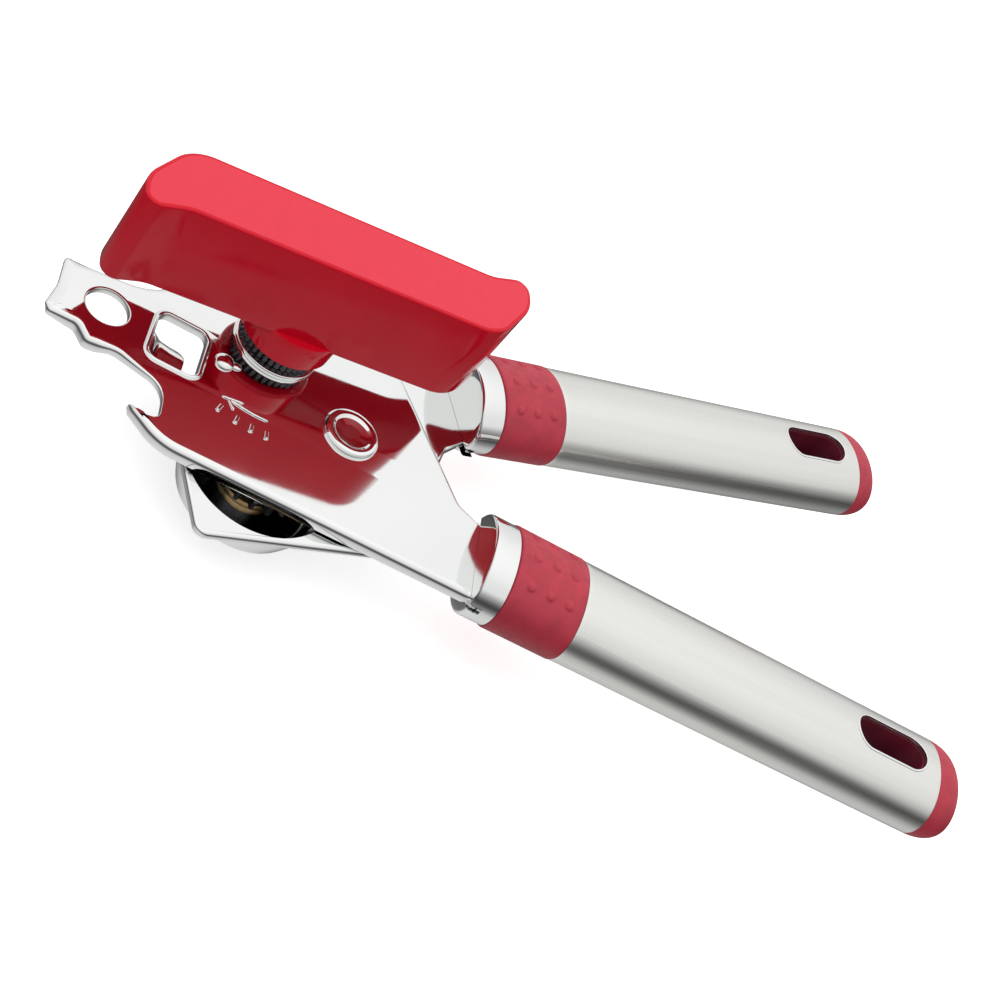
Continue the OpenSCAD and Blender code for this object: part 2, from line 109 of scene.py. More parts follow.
def loft(rings, loop=False, caps=(True, True)):
    """Quads join each ring of points to the next, and each ring wraps round.

    With loop, the last ring joins the first, as for a ring with a bore. Otherwise a fan about
    the mean of its points closes each end that caps asks for.
    """
    rings = np.asarray(rings, float)
    count, around = rings.shape[:2]
    index = np.arange(count * around).reshape(count, around)
    upper, lower = (index, np.roll(index, -1, 0)) if loop else (index[:-1], index[1:])
    quads = np.stack([upper, np.roll(upper, -1, 1), np.roll(lower, -1, 1), lower], -1).reshape(-1, 4)
    points, faces = [rings.reshape(-1, 3)], [quads]
    total = count * around
    for row, ring, wanted in ((index[0][::-1], rings[0], caps[0]), (index[-1], rings[-1], caps[1])):
        if wanted and not loop:
            points.append(ring.mean(0)[None])
            faces.append(np.stack([row, np.roll(row, -1), np.full(around, total)], -1))
            total += 1
    return np.concatenate(points), faces


def outward(shell):
    """The shell with its faces turned so that it encloses a positive volume (a sum of tetrahedra)."""
    points, faces = shell
    volume = 0.0
    for face in faces:
        a, b, c = points[face[:, 0]], points[face[:, 1]], points[face[:, 2]]
        volume += np.einsum("ij,ij->", a, np.cross(b, c))
        if face.shape[1] == 4:
            d = points[face[:, 3]]
            volume += np.einsum("ij,ij->", a, np.cross(c, d))
    return (points, faces) if volume > 0 else (points, [face[:, ::-1] for face in faces])


def piece(name, shells, materials, body, nodes=(), sharp=32.0):
    """One object from (shell, material number) pairs, in place, riding on its body."""
    points, faces, marks, start = [], [], [], 0
    for shell, mark in shells:
        for face in shell[1]:
            faces.extend((face + start).tolist())
            marks.append(np.full(len(face), mark))
        points.append(shell[0])
        start += len(shell[0])
    mesh = bpy.data.meshes.new(name)
    mesh.from_pydata(np.concatenate(points).tolist(), [], faces)
    mesh.polygons.foreach_set("material_index", np.concatenate(marks).astype(np.int32))
    mesh.polygons.foreach_set("use_smooth", np.ones(len(faces), bool))
    mesh.set_sharp_from_angle(angle=math.radians(sharp))
    for finish in materials:
        mesh.materials.append(finish)
    if mesh.validate():
        raise RuntimeError(f"{name} has faces that can't be kept")
    obj = bpy.data.objects.new(name, mesh)
    bpy.context.scene.collection.objects.link(obj)
    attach(obj, body)
    if nodes:
        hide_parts(*nodes)
    return obj


# ---- outlines --------------------------------------------------------------

def full_turn(steps):
    """Angles evenly spaced round a full turn."""
    return np.linspace(0, 2 * math.pi, steps, endpoint=False)


def unit(vectors):
    """Vectors divided by their lengths."""
    return vectors / np.linalg.norm(vectors, axis=-1, keepdims=True)


def rounded(corners, steps=10):
    """Outline through (x, y, radius) corners, each replaced by steps + 1 points on its own arc.

    The arc touches both edges at radius / tan(half angle) from the corner, or at half an edge.
    """
    corners = np.asarray(corners, float)
    q = corners[:, :2]
    p, s = np.roll(q, 1, 0), np.roll(q, -1, 0)
    u, v = unit(p - q), unit(s - q)
    half = np.arccos(np.clip((u * v).sum(1), -1, 1)) / 2
    room = 0.49 * np.minimum(np.linalg.norm(p - q, axis=1), np.linalg.norm(s - q, axis=1))
    reach = np.minimum(corners[:, 2] / np.tan(half), room)
    radius = reach * np.tan(half)
    centre = q + unit(u + v) * (radius / np.sin(half))[:, None]
    a, b = q + u * reach[:, None] - centre, q + v * reach[:, None] - centre
    first = np.arctan2(a[:, 1], a[:, 0])
    turn = np.arctan2(a[:, 0] * b[:, 1] - a[:, 1] * b[:, 0], (a * b).sum(1))
    angle = first[:, None] + turn[:, None] * np.linspace(0, 1, steps + 1)
    arcs = centre[:, None] + radius[:, None, None] * np.stack([np.cos(angle), np.sin(angle)], -1)
    return arcs.reshape(-1, 2)


def inset(corners, distance):
    """Clockwise (x, y, radius) corners with their edges moved inwards.

    distance is one number for each corner, or one for all.
    """
    corners = np.asarray(corners, float)
    q = corners[:, :2]
    distance = np.broadcast_to(distance, len(q))
    e, f = unit(q - np.roll(q, 1, 0)), unit(np.roll(q, -1, 0) - q)
    ne, nf = np.stack([e[:, 1], -e[:, 0]], -1), np.stack([f[:, 1], -f[:, 0]], -1)
    moved = q + distance[:, None] * (ne + nf) / (1 + (ne * nf).sum(1))[:, None]
    convex = e[:, 0] * f[:, 1] - e[:, 1] * f[:, 0] < 0
    radius = np.where(convex, np.maximum(corners[:, 2] - distance, 0.05), corners[:, 2] + distance)
    return np.column_stack([moved, radius])


def edge_rings(corners, profiles, steps=10):
    """Rings of an outline, one for each (inset, height) row of profiles, whose shape is (rings, corners, 2)."""
    rings = []
    for row in profiles:
        xy = rounded(inset(corners, row[:, 0]), steps)
        rings.append(np.column_stack([xy, np.repeat(row[:, 1], steps + 1)]))
    return np.stack(rings)


def same_edge(corners, profile):
    """One (inset, height) profile for every corner."""
    return np.repeat(np.asarray(profile, float)[:, None], len(corners), 1)


def circle_rings(profile, centre, steps=72):
    """Counter-clockwise rings of a round hole, one for each (radius, height) row."""
    t = full_turn(steps)
    profile = np.asarray(profile, float)
    x = centre[0] + profile[:, :1] * np.cos(t)
    y = centre[1] + profile[:, :1] * np.sin(t)
    return np.stack([x, y, np.broadcast_to(profile[:, 1:], x.shape)], -1)


def flat_fill(loops, starts, upwards):
    """Triangles between an outline and its holes, facing up or down, numbered in the whole shell."""
    flat = [[Vector((x, y, 0.0)) for x, y in loop[:, :2].tolist()] for loop in loops]
    triangles = np.array(tessellate_polygon(flat))
    numbers = np.concatenate([start + np.arange(len(loop)) for loop, start in zip(loops, starts)])
    xy = np.concatenate([loop[:, :2] for loop in loops])
    a, b, c = xy[triangles[:, 0]], xy[triangles[:, 1]], xy[triangles[:, 2]]
    area = (b[:, 0] - a[:, 0]) * (c[:, 1] - a[:, 1]) - (b[:, 1] - a[:, 1]) * (c[:, 0] - a[:, 0])
    wrong = (area > 0) != upwards
    triangles[wrong] = triangles[wrong][:, ::-1]
    return numbers[triangles]


def slab(bands, split=False):
    """A closed slab: each band of rings runs from the top face's edge to the underside's edge.

    The first band is the clockwise outline and the others are counter-clockwise holes. The flat
    faces are filled between the bands' first and last rings. With split, the top face comes back
    as the last face array alone, so that it can take its own finish.
    """
    points, faces, firsts, lasts, total = [], [], [], [], 0
    for rings in bands:
        count, around = rings.shape[:2]
        shell = loft(rings, caps=(False, False))
        points.append(shell[0])
        faces.append(shell[1][0] + total)
        firsts.append(total)
        lasts.append(total + (count - 1) * around)
        total += count * around
    faces.append(flat_fill([rings[-1] for rings in bands], lasts, False))
    top = flat_fill([rings[0] for rings in bands], firsts, True)
    points = np.concatenate(points)
    return (points, faces, top) if split else (points, faces + [top])


def softened(corners, closed=True, steps=4):
    """A profile of (radius, height, rounding) corners with its corners rounded; an open one keeps its ends."""
    corners = np.asarray(corners, float)
    arcs = rounded(corners, steps).reshape(len(corners), steps + 1, 2)
    if closed:
        return arcs.reshape(-1, 2)
    return np.concatenate([corners[:1, :2], arcs[1:-1].reshape(-1, 2), corners[-1:, :2]])


def lathe(corners, bore=True, steps=120, knurls=0, depth=0.0):
    """A profile of (radius, height, rounding) carried round Z: x = r cos t, y = r sin t.

    With knurls, the radius of every point loses depth times a smooth wave of t, knurls times
    a turn, where it is outside the profile's mean radius.
    """
    profile = softened(corners, bore)
    t = full_turn(steps)
    r = np.repeat(profile[:, :1], steps, 1)
    if knurls:
        wave = np.abs(np.sin(knurls * t / 2)) ** 0.8
        r = r - depth * (1 - wave) * (r > profile[:, 0].mean())
    z = np.repeat(profile[:, 1:], steps, 1)
    return outward(loft(np.stack([r * np.cos(t), r * np.sin(t), z], -1), loop=bore))


def turned(points, angle):
    """Points turned by an angle about Z."""
    c, s = math.cos(angle), math.sin(angle)
    x, y = points[..., 0], points[..., 1]
    return np.stack([c * x - s * y, s * x + c * y, points[..., 2]], -1)


def round_rings(t, rows):
    """A closed ring of circles about Z, one for each (height, radius); a radius may vary with the angles t."""
    rings = []
    for z, r in rows:
        rings.append(np.stack([r * np.cos(t), r * np.sin(t), np.full(len(t), z)], -1))
    return outward(loft(np.stack(rings), loop=True))


def moved(shell, place):
    """A shell put in its place in the object's frame, in metres."""
    return placed(shell[0], *place), shell[1]


# ---- materials -------------------------------------------------------------

def set_inputs(node, values):
    """Sets a node's input values by name; _ stands for a space."""
    for socket, value in values.items():
        node.inputs[socket.replace("_", " ")].default_value = value


def add_node(material, kind, **values):
    """A new node of a material or world, with its input values set; _ stands for a space."""
    node = material.node_tree.nodes.new(kind)
    set_inputs(node, values)
    return node


def new_material(name, colour, metallic, roughness, **sockets):
    """A Principled material; its even values are set on the shader's own sockets."""
    material = bpy.data.materials.new(name)
    material.use_nodes = True
    set_inputs(material.node_tree.nodes["Principled BSDF"],
               {"Base Color": (*colour, 1.0), "Metallic": metallic, "Roughness": roughness, **sockets})
    material.diffuse_color = (*colour, 1.0)
    return material


def grain(material, scale, stretch=(1.0, 1.0, 1.0), turn=0.0, detail=4.0, rough=0.55):
    """A noise output on the piece's Object coordinates, stretched and turned about Z."""
    links = material.node_tree.links
    where = add_node(material, "ShaderNodeTexCoord")
    mapping = add_node(material, "ShaderNodeMapping")
    mapping.vector_type = "TEXTURE"
    set_inputs(mapping, {"Rotation": (0.0, 0.0, turn), "Scale": stretch})
    noise = add_node(material, "ShaderNodeTexNoise", Scale=scale, Detail=detail, Roughness=rough)
    links.new(where.outputs["Object"], mapping.inputs["Vector"])
    links.new(mapping.outputs["Vector"], noise.inputs["Vector"])
    return noise.outputs["Fac"]


def vary(material, socket, source, low, high, start=0.3, end=0.7):
    """Drives a value socket from a noise, from low where it is start to high where it is end."""
    nodes, links = material.node_tree.nodes, material.node_tree.links
    spread = add_node(material, "ShaderNodeMapRange", From_Min=start, From_Max=end, To_Min=low, To_Max=high)
    links.new(source, spread.inputs["Value"])
    links.new(spread.outputs["Result"], nodes["Principled BSDF"].inputs[socket])


def tint(material, source, first, second, start=0.35, end=0.65):
    """Mixes the base colour between two colours by a noise."""
    nodes, links = material.node_tree.nodes, material.node_tree.links
    ramp = nodes.new("ShaderNodeValToRGB")
    for element, place, colour in zip(ramp.color_ramp.elements, (start, end), (first, second)):
        element.position, element.color = place, (*colour, 1.0)
    links.new(source, ramp.inputs["Fac"])
    links.new(ramp.outputs["Color"], nodes["Principled BSDF"].inputs["Base Color"])


def relief(material, *layers):
    """Bump layers of (source, strength, distance in millimetres), one on top of another."""
    nodes, links = material.node_tree.nodes, material.node_tree.links
    below = None
    for source, strength, distance in layers:
        bump = add_node(material, "ShaderNodeBump", Strength=strength, Distance=distance * MM)
        links.new(source, bump.inputs["Height"])
        if below is not None:
            links.new(below, bump.inputs["Normal"])
        below = bump.outputs["Normal"]
    links.new(below, nodes["Principled BSDF"].inputs["Normal"])


def shade(colour, factor):
    """A colour made darker or lighter."""
    return tuple(min(1.0, value * factor) for value in colour)


def chrome_finish(s):
    """Nickel-chrome plating on pressed steel: nearly a mirror, with slow waves, faint haze and fine hair scratches."""
    material = new_material("polished_chrome", s.chrome, 1.0, 0.05)
    tint(material, grain(material, 25, detail=2), shade(s.chrome, 0.97), s.chrome)
    vary(material, "Roughness", grain(material, 90, detail=5), s.chrome_gloss, s.chrome_gloss + 0.05)
    waves = grain(material, 45, detail=1)
    hair = grain(material, 60, stretch=(1, 0.03, 1), turn=0.6, detail=3)
    relief(material, (waves, 0.12, 0.25), (hair, 0.03, 0.02))
    return material


def brushed_finish(s, name, turn):
    """Stainless steel brushed along the handle: long fine streaks in gloss, tone and relief."""
    material = new_material(name, s.steel, 1.0, 0.3)
    lines = grain(material, 900, stretch=(60, 1, 1), turn=turn, detail=3)
    bands = grain(material, 160, stretch=(40, 1, 1), turn=turn, detail=2)
    tint(material, bands, shade(s.steel, 0.93), s.steel)
    vary(material, "Roughness", lines, s.brushed_gloss - 0.05, s.brushed_gloss + 0.1)
    relief(material, (lines, 0.35, 0.03), (bands, 0.12, 0.05))
    return material


def turned_finish(name, colour, roughness=0.32):
    """Turned or stamped steel with small tool marks, a thin oil haze and darker patches."""
    material = new_material(name, colour, 1.0, roughness)
    patches = grain(material, 220, detail=4)
    marks = grain(material, 1400, stretch=(1, 1, 0.15), detail=3)
    tint(material, patches, shade(colour, 0.75), colour)
    vary(material, "Roughness", patches, roughness - 0.08, roughness + 0.12)
    relief(material, (marks, 0.2, 0.03))
    return material


def rubber_finish(s):
    """Matt red soft rubber with a fine moulded grain and slightly uneven colour."""
    material = new_material("red_soft_rubber", s.rubber, 0.0, 0.5, Specular_IOR_Level=0.45)
    blotches = grain(material, 260, detail=3)
    tint(material, blotches, shade(s.rubber, 0.88), shade(s.rubber, 1.08))
    vary(material, "Roughness", grain(material, 900, detail=2), 0.44, 0.6)
    relief(material, (grain(material, 3200, detail=2), 0.25, 0.02), (blotches, 0.05, 0.05))
    return material


def gloss_finish(s):
    """Glossy red plastic of the knob's sides and hub: a clear skin with faint moulding ripple."""
    material = new_material("gloss_red_plastic", s.knob, 0.0, 0.14, Specular_IOR_Level=0.22)
    ripple = grain(material, 70, detail=1)
    tint(material, grain(material, 120, detail=2), shade(s.knob, 0.95), s.knob)
    vary(material, "Roughness", grain(material, 500, detail=3), 0.1, 0.2)
    relief(material, (ripple, 0.12, 0.15))
    return material


def satin_finish(s):
    """Satin red plastic of the knob's top, finely etched so that it spreads the light; its colour is set lighter than
    the sides' red as painted light on the top.
    """
    material = new_material("satin_red_plastic_painted_light", s.knob_top_painted_light, 0.0, 0.42, Specular_IOR_Level=0.5)
    tint(material, grain(material, 300, detail=3), shade(s.knob_top_painted_light, 0.97), s.knob_top_painted_light)
    vary(material, "Roughness", grain(material, 1200, detail=2), 0.38, 0.5)
    relief(material, (grain(material, 5200, detail=1), 0.15, 0.01))
    return material


def core_finish(s):
    """Dark red moulded plastic seen through the hanging slots."""
    material = new_material("dark_red_moulding", s.core, 0.0, 0.5, Specular_IOR_Level=0.3)
    tint(material, grain(material, 200, detail=2), shade(s.core, 0.8), s.core)
    relief(material, (grain(material, 1800, detail=3), 0.3, 0.03))
    return material


def floor_finish():
    """Smooth white studio paper with the faintest tooth."""
    material = new_material("white_paper", (0.93, 0.93, 0.93), 0.0, 0.9, Specular_IOR_Level=0.1)
    set_inputs(material.node_tree.nodes["Principled BSDF"],
               {"Emission Color": (1, 1, 1, 1), "Emission Strength": 0.55})
    relief(material, (grain(material, 900, detail=2), 0.05, 0.02))
    return material


MAKERS = {
    "chrome": chrome_finish,
    "brushed_lower": lambda s: brushed_finish(s, "brushed_steel_lower", 0.0),
    "brushed_upper": lambda s: brushed_finish(s, "brushed_steel_upper", OPENING),
    "turned": lambda s: turned_finish("turned_steel", s.turned),
    "blued": lambda s: turned_finish("blued_steel", s.blued, 0.38),
    "bronze": lambda s: turned_finish("plain_bronze", s.bronze, 0.35),
    "rubber": rubber_finish,
    "gloss": gloss_finish,
    "satin": satin_finish,
    "core": core_finish,
    "floor": lambda s: floor_finish(),
}
MADE = {}


def finish(key):
    """The material of that finish, made the first time it is asked for."""
    if key not in MADE:
        MADE[key] = MAKERS[key](bpy.context.scene.opener_finish)
    return MADE[key]


def plain(name, shells, place, key, body, node=None, sharp=32.0):
    """A piece of one finish, from shells in one place, that stands for one CAD node or none."""
    nodes = (node,) if node else ()
    return piece(name, [(moved(shell, place), 0) for shell in shells], [finish(key)], body, nodes, sharp)


# ---- front plate -----------------------------------------------------------

def fillet(radius, steps=6):
    """(inset, height) rows round the top edge: inset r (1 - sin t), height -r (1 - cos t), t from 0 to 90 degrees."""
    t = np.linspace(0, math.pi / 2, steps + 1)
    return np.column_stack([radius * (1 - np.sin(t)), -radius * (1 - np.cos(t))])


def edge_profiles():
    """Three edges with the same number of rows: plain cut, turned-down rim, and bent-down end strip."""
    cut = np.vstack([
        [[0.6, 0]], fillet(0.35), [[0, -0.7], [0, -1.1], [0.03, -1.3], [0.1, -1.42], [0.25, -1.5],
                                   [0.32, -1.5], [0.4, -1.5], [0.5, -1.5], [0.6, -1.5]],
    ])
    rim = np.vstack([
        [[1.6, 0]], fillet(1.3), [[0, -1.7], [0, -2.5], [0.1, -2.7], [0.3, -2.8], [0.8, -2.8],
                                  [1.0, -2.65], [1.1, -2.3], [1.1, -1.7], [1.4, -1.5]],
    ])
    strip = cut.copy()
    strip[:8] = np.column_stack([
        [2.5, 2.2, 1.9, 1.2, 0.6, 0.25, 0.08, 0.0], [0, 0, -0.05, -0.25, -0.42, -0.55, -0.7, -0.9],
    ])
    return np.stack([cut, rim, strip])


# x, y, corner radius, kind of edge (0 cut, 1 rim, 2 strip), clockwise from the tip's top corner
FRONT_OUTLINE = np.array([
    [-60.5, 7.9, 1, 2], [-54.4, 8.4, 20, 1], [-44, 10, 12, 1], [-35.6, 20.8, 10, 1], [-27.6, 26, 9, 1],
    [6, 26, 4, 1], [25.1, -2.8, 3, 1], [32.5, -7, 0.5, 0], [32.5, -24, 0.1, 0], [31.5, -24.05, 0.1, 0],
    [29.2, -24.02, 0.1, 1], [-33.9, -24, 11, 1], [-40.3, -19.6, 6, 0.8], [-41.8, -18.2, 0.5, 0.3],
    [-38.5, -19.4, 1.4, 0], [-35.4, -18.8, 2.6, 0], [-36.1, -11.6, 5, 0], [-46, -8.3, 5, 0.5],
    [-49.6, -9, 1, 1], [-51.8, -9.4, 1.4, 1], [-54.4, -6.4, 2, 1], [-59.6, -6.6, 1, 1.5],
    [-60.7, -5, 1.2, 2], [-59.9, 0.6, 12, 2],
])
HOLE_AT = (-50.4, 0.6)
WINDOW = np.array([[-42.2, 7, 3], [-30.4, 7, 3], [-30.4, -7, 3], [-42.2, -7, 3]])


def blended_profiles(kinds):
    """The edge profile of each corner, mixed between neighbouring kinds where its kind isn't whole."""
    table = edge_profiles()
    low = np.floor(kinds).astype(int)
    high = np.minimum(low + 1, len(table) - 1)
    part = (kinds - low)[:, None, None]
    return np.moveaxis(table[low] * (1 - part) + table[high] * part, 1, 0)


def window_rings():
    """The window's raised lip, counter-clockwise: up from the face, over a round bead and down through the sheet."""
    profile = [[-0.15, 0], [0, 0.02], [0.12, 0.12], [0.25, 0.32], [0.42, 0.48], [0.62, 0.54], [0.82, 0.48],
               [0.98, 0.3], [1.08, 0.05], [1.1, -0.3], [1.1, -1.2], [1.05, -1.4], [0.9, -1.5], [0.7, -1.5]]
    return edge_rings(WINDOW, same_edge(WINDOW, profile), 8)[:, ::-1]


def hole_rings():
    """The hanging hole: a small round on each side of a straight wall."""
    profile = [[4.65, 0], [4.5, 0], [4.36, -0.04], [4.24, -0.14], [4.17, -0.28], [4.15, -0.45], [4.15, -1.2],
               [4.2, -1.38], [4.3, -1.5], [4.5, -1.5]]
    return circle_rings(profile, HOLE_AT)


def tongue():
    """The window's bent tongue: a rounded strip section carried along a path that bends down and runs level.

    At its free end the upper corner is rounded: its side comes in by r (1 - sqrt(1 - k^2)).
    """
    path = np.array([[-41.7, -0.5], [-40.9, -0.75], [-40.1, -1.3], [-39.5, -1.75], [-38.9, -1.9], [-38, -1.93],
                     [-37, -1.96], [-36, -2], [-35.4, -2.02], [-34.9, -2.04], [-34.5, -2.05], [-34.2, -2.06],
                     [-33.95, -2.07]])
    k = np.clip((path[:, 0] + 36.0) / 2.05, 0, 1)
    side_in = 2.0 * (1 - np.sqrt(1 - k ** 2))
    far, near = 0.9 - side_in, -5.9 + 0.3 * k ** 3
    middle, half = (far + near) / 2, (far - near) / 2
    t = full_turn(32)
    square_cos = np.sign(np.cos(t)) * np.abs(np.cos(t)) ** 0.3
    square_sin = np.sign(np.sin(t)) * np.abs(np.sin(t)) ** 0.6
    y = middle[:, None] + half[:, None] * square_cos
    z = path[:, 1:] + 0.42 * square_sin - 0.5 * np.clip((path[:, :1] + 41) / 4, 0, 1) * ((y + 2.5) / 3.4) ** 2
    return outward(loft(np.stack([np.repeat(path[:, :1], 32, 1), y, z], -1)))


def ridge(points, width, height):
    """An embossed line: a half-round section carried along points and tapered at its ends."""
    points = np.asarray(points, float)
    along = unit(np.gradient(points, axis=0))
    side = np.stack([-along[:, 1], along[:, 0]], -1)
    taper = np.sqrt(np.clip(np.sin(np.linspace(0.06, math.pi - 0.06, len(points))) * 3.5, 0, 1))
    t = full_turn(14)
    across = width / 2 * np.cos(t) * taper[:, None]
    z = height * np.where(np.sin(t) > 0, np.sin(t), 0.4 * np.sin(t)) * taper[:, None]
    xy = points[:, None] + side[:, None] * across[..., None]
    return outward(loft(np.concatenate([xy, z[..., None]], -1)))


def arc(radius, first, last, steps=24):
    """Points on an arc about the drive shaft, in the plate's own frame."""
    t = np.radians(np.linspace(first, last, steps))
    return SHAFT_XY + radius * np.stack([np.cos(t), np.sin(t)], -1)


def segment(start, end, steps=10):
    """Points on a straight line."""
    k = np.linspace(0, 1, steps)[:, None]
    return np.asarray(start) * (1 - k) + np.asarray(end) * k


def turning_marks():
    """A curved arrow that points the way to turn, and four plain ticks."""
    marks = [
        ridge(arc(20.1, -105.5, -83.5), 0.62, 0.34),
        ridge(segment((-25.9, -6.7), (-21.6, -5.9)), 0.6, 0.34),
        ridge(segment((-24.6, -6.6), (-23.1, -8.6)), 0.6, 0.34),
    ]
    for angle in (-107.5, -98.5, -91.0, -83.5):
        a = math.radians(angle)
        d = np.array([math.cos(a), math.sin(a)])
        marks.append(ridge(segment(SHAFT_XY + 22.6 * d, SHAFT_XY + 24.6 * d), 0.9, 0.45))
    return marks


def dome(centre, radius, height, stretch=(1.0, 1.0), turn=0.0):
    """A smooth stud on the face: radius cos t, height sin t, from just under the face to its top."""
    t = np.linspace(-0.25, math.pi / 2 - 0.05, 12)
    a = full_turn(40)
    x = radius * stretch[0] * np.cos(t)[:, None] * np.cos(a)
    y = radius * stretch[1] * np.cos(t)[:, None] * np.sin(a)
    z = np.repeat(height * np.sin(t)[:, None], len(a), 1)
    return outward(loft(turned(np.stack([x, y, z], -1), turn) + [*centre, 0]))


def front_sheet():
    """The pressed plate with its rim, window and hanging hole."""
    rings = edge_rings(FRONT_OUTLINE[:, :3], blended_profiles(FRONT_OUTLINE[:, 3]), 10)
    return slab([rings, window_rings(), hole_rings()])


# ---- back plate ------------------------------------------------------------

CUP_X, CUP_Y, CUP_R = -19.0, -8.4745, 15.1
SWEEP_R, SHAFT_REACH = 11.38, 22.58


def arc_points(centre, radius, first, last, steps):
    """Points on an arc, angles in degrees."""
    t = np.radians(np.linspace(first, last, steps))
    return np.stack([centre[0] + radius * np.cos(t), centre[1] + radius * np.sin(t)], -1)


def smooth_normals(outline):
    """Inward normals of a clockwise outline, each the mean of its two edges' normals."""
    e = unit(outline - np.roll(outline, 1, 0))
    f = unit(np.roll(outline, -1, 0) - outline)
    n = np.stack([e[:, 1] + f[:, 1], -(e[:, 0] + f[:, 0])], -1)
    return n / np.maximum((n ** 2).sum(1, keepdims=True) / 2, 0.6)


def back_outline():
    """The back plate seen from above with the handles closed, and how far each point of its edge is rolled.

    Its outer edge is rolled (1). The gear's swept cut and the cup's mouth, which opens into
    it, are plain (0) and come back as part of the same line.
    """
    outer = rounded([
        [-34.9, 4.23, 3.5], [-20, 4.23, 0.1], [2.5, 24.2, 0.1], [32.5, 24.2, 0.5], [32.5, 7, 0.5], [25.1, 2.8, 3],
        [6, -24.67, 4], [-34.9, -24.67, 2.2],
    ], 8).reshape(8, 9, 2)
    edge = np.concatenate([outer[3:].reshape(-1, 2), outer[0], [[-29.5, 4.23], [-27.4, 4.23]]])
    mouth = arc_points((CUP_X, CUP_Y), CUP_R, 123, 418, 110)
    side = arc_points(SHAFT_XY, SWEEP_R, -45, -35.5, 4)
    inner = arc_points((0, 0), 11.2, 145.2, 109.8, 24)
    last = arc_points((0, 0), SHAFT_REACH, 109.5, 109.5, 1)[0]
    end = arc_points(last, SWEEP_R, -70.2, 14.5, 24)
    cut = np.concatenate([mouth, side, inner, end])
    closing = [[4.6, 24.2], [18.0, 24.2], [30.0, 24.2]]
    roll = np.clip((31.5 - edge[:, 0]) / 3, 0, 1) * np.clip((edge[:, 0] + 36) / 5, 0.3, 1)
    return np.concatenate([edge, cut, closing]), np.concatenate([roll, np.zeros(len(cut) + 3)])


def back_sheet():
    """The back plate: each ring of its edge lies an inset along the normals and a height below its face."""
    outline, rolled = back_outline()
    normals = smooth_normals(outline)
    rolled_edge = np.vstack([[[1.3, 0]], fillet(1.1), [[0, -1.2], [0.05, -1.4], [0.2, -1.5], [0.6, -1.5]]])
    plain_edge = np.vstack([[[0.1, 0]], fillet(0.08), [[0, -0.6], [0, -1.4], [0.05, -1.5], [0.1, -1.5]]])
    rings = []
    for a, b in zip(rolled_edge, plain_edge):
        d = a[0] * rolled + b[0] * (1 - rolled)
        z = a[1] * rolled + b[1] * (1 - rolled)
        rings.append(np.column_stack([outline + normals * d[:, None], BACK_FACE + z]))
    return slab([np.stack(rings)])


def gear_cup():
    """The drawn cup: a closed wall and floor profile carried round its own axis, with a hole for the bushing.

    Its wall stops below the gear where the swept cut passes.
    """
    t = full_turn(240)
    degrees = np.degrees(t)
    cut = np.interp(degrees, [0, 55, 57, 120, 122, 360], [0, 0, 1, 1, 0, 0])
    top = -3.45 * (1 - cut) - 6.1 * cut
    outer_wall = [[11.6, -12.0], [12.6, -11.9], [13.15, -11.55], [13.4, -11.0], [14.14, -9.2], [15.05, -7.0]]
    inner_wall = [[13.67, -7.0], [12.78, -9.2], [12.5, -9.9], [12.2, -10.3], [11.8, -10.5]]
    hole = np.stack([1.4 + 4.6 * np.cos(t), 1.7 + 4.6 * np.sin(t)], -1)
    circle = np.stack([np.cos(t), np.sin(t)], -1)
    rings = [np.column_stack([hole, np.full(240, -12.0)])]
    rings += [np.column_stack([circle * r, np.full(240, z)]) for r, z in outer_wall]
    rings.append(np.column_stack([circle * (15.9 - 0.5 * cut)[:, None], top]))
    rings.append(np.column_stack([circle * (15.3 - 1.2 * cut)[:, None], top + 0.05]))
    rings += [np.column_stack([circle * r, np.full(240, z)]) for r, z in inner_wall]
    rings.append(np.column_stack([hole, np.full(240, -10.5)]))
    rings = np.stack(rings) + [CUP_X, CUP_Y, 0]
    return outward(loft(rings, loop=True))


# ---- handles ---------------------------------------------------------------

TUBE_A, TUBE_B = 11.5, 8.55
FERRULE_FROM, MOUTH = 30.0, 32.6
TUBE_FROM, TUBE_TO, TUBE_WALL = 51.1, 141.1, 0.8
DOT_RADIUS, DOT_HEIGHT = 0.92, 0.42
SLOT_FROM, SLOT_TO, SLOT_R = 118.8, 137.4, 4.1


def ovals(stations, steps=128):
    """Ovals across X, one for each (x, shrink) station: y = (a - shrink) cos t, z = (b - shrink) sin t."""
    stations = np.asarray(stations, float)
    t = full_turn(steps)
    x = np.repeat(stations[:, :1], steps, 1)
    y = (TUBE_A - stations[:, 1:]) * np.cos(t)
    z = (TUBE_B - stations[:, 1:]) * np.sin(t)
    return np.stack([x, y, z], -1)


def girth(a, b, t):
    """Distance round an oval from angle 0 to each angle t, summed from a fine table of its arc length."""
    fine = np.linspace(0, 2 * math.pi, 2001)
    step = np.hypot(np.diff(a * np.cos(fine)), np.diff(b * np.sin(fine)))
    return np.interp(t, fine, np.concatenate([[0], np.cumsum(step)]))


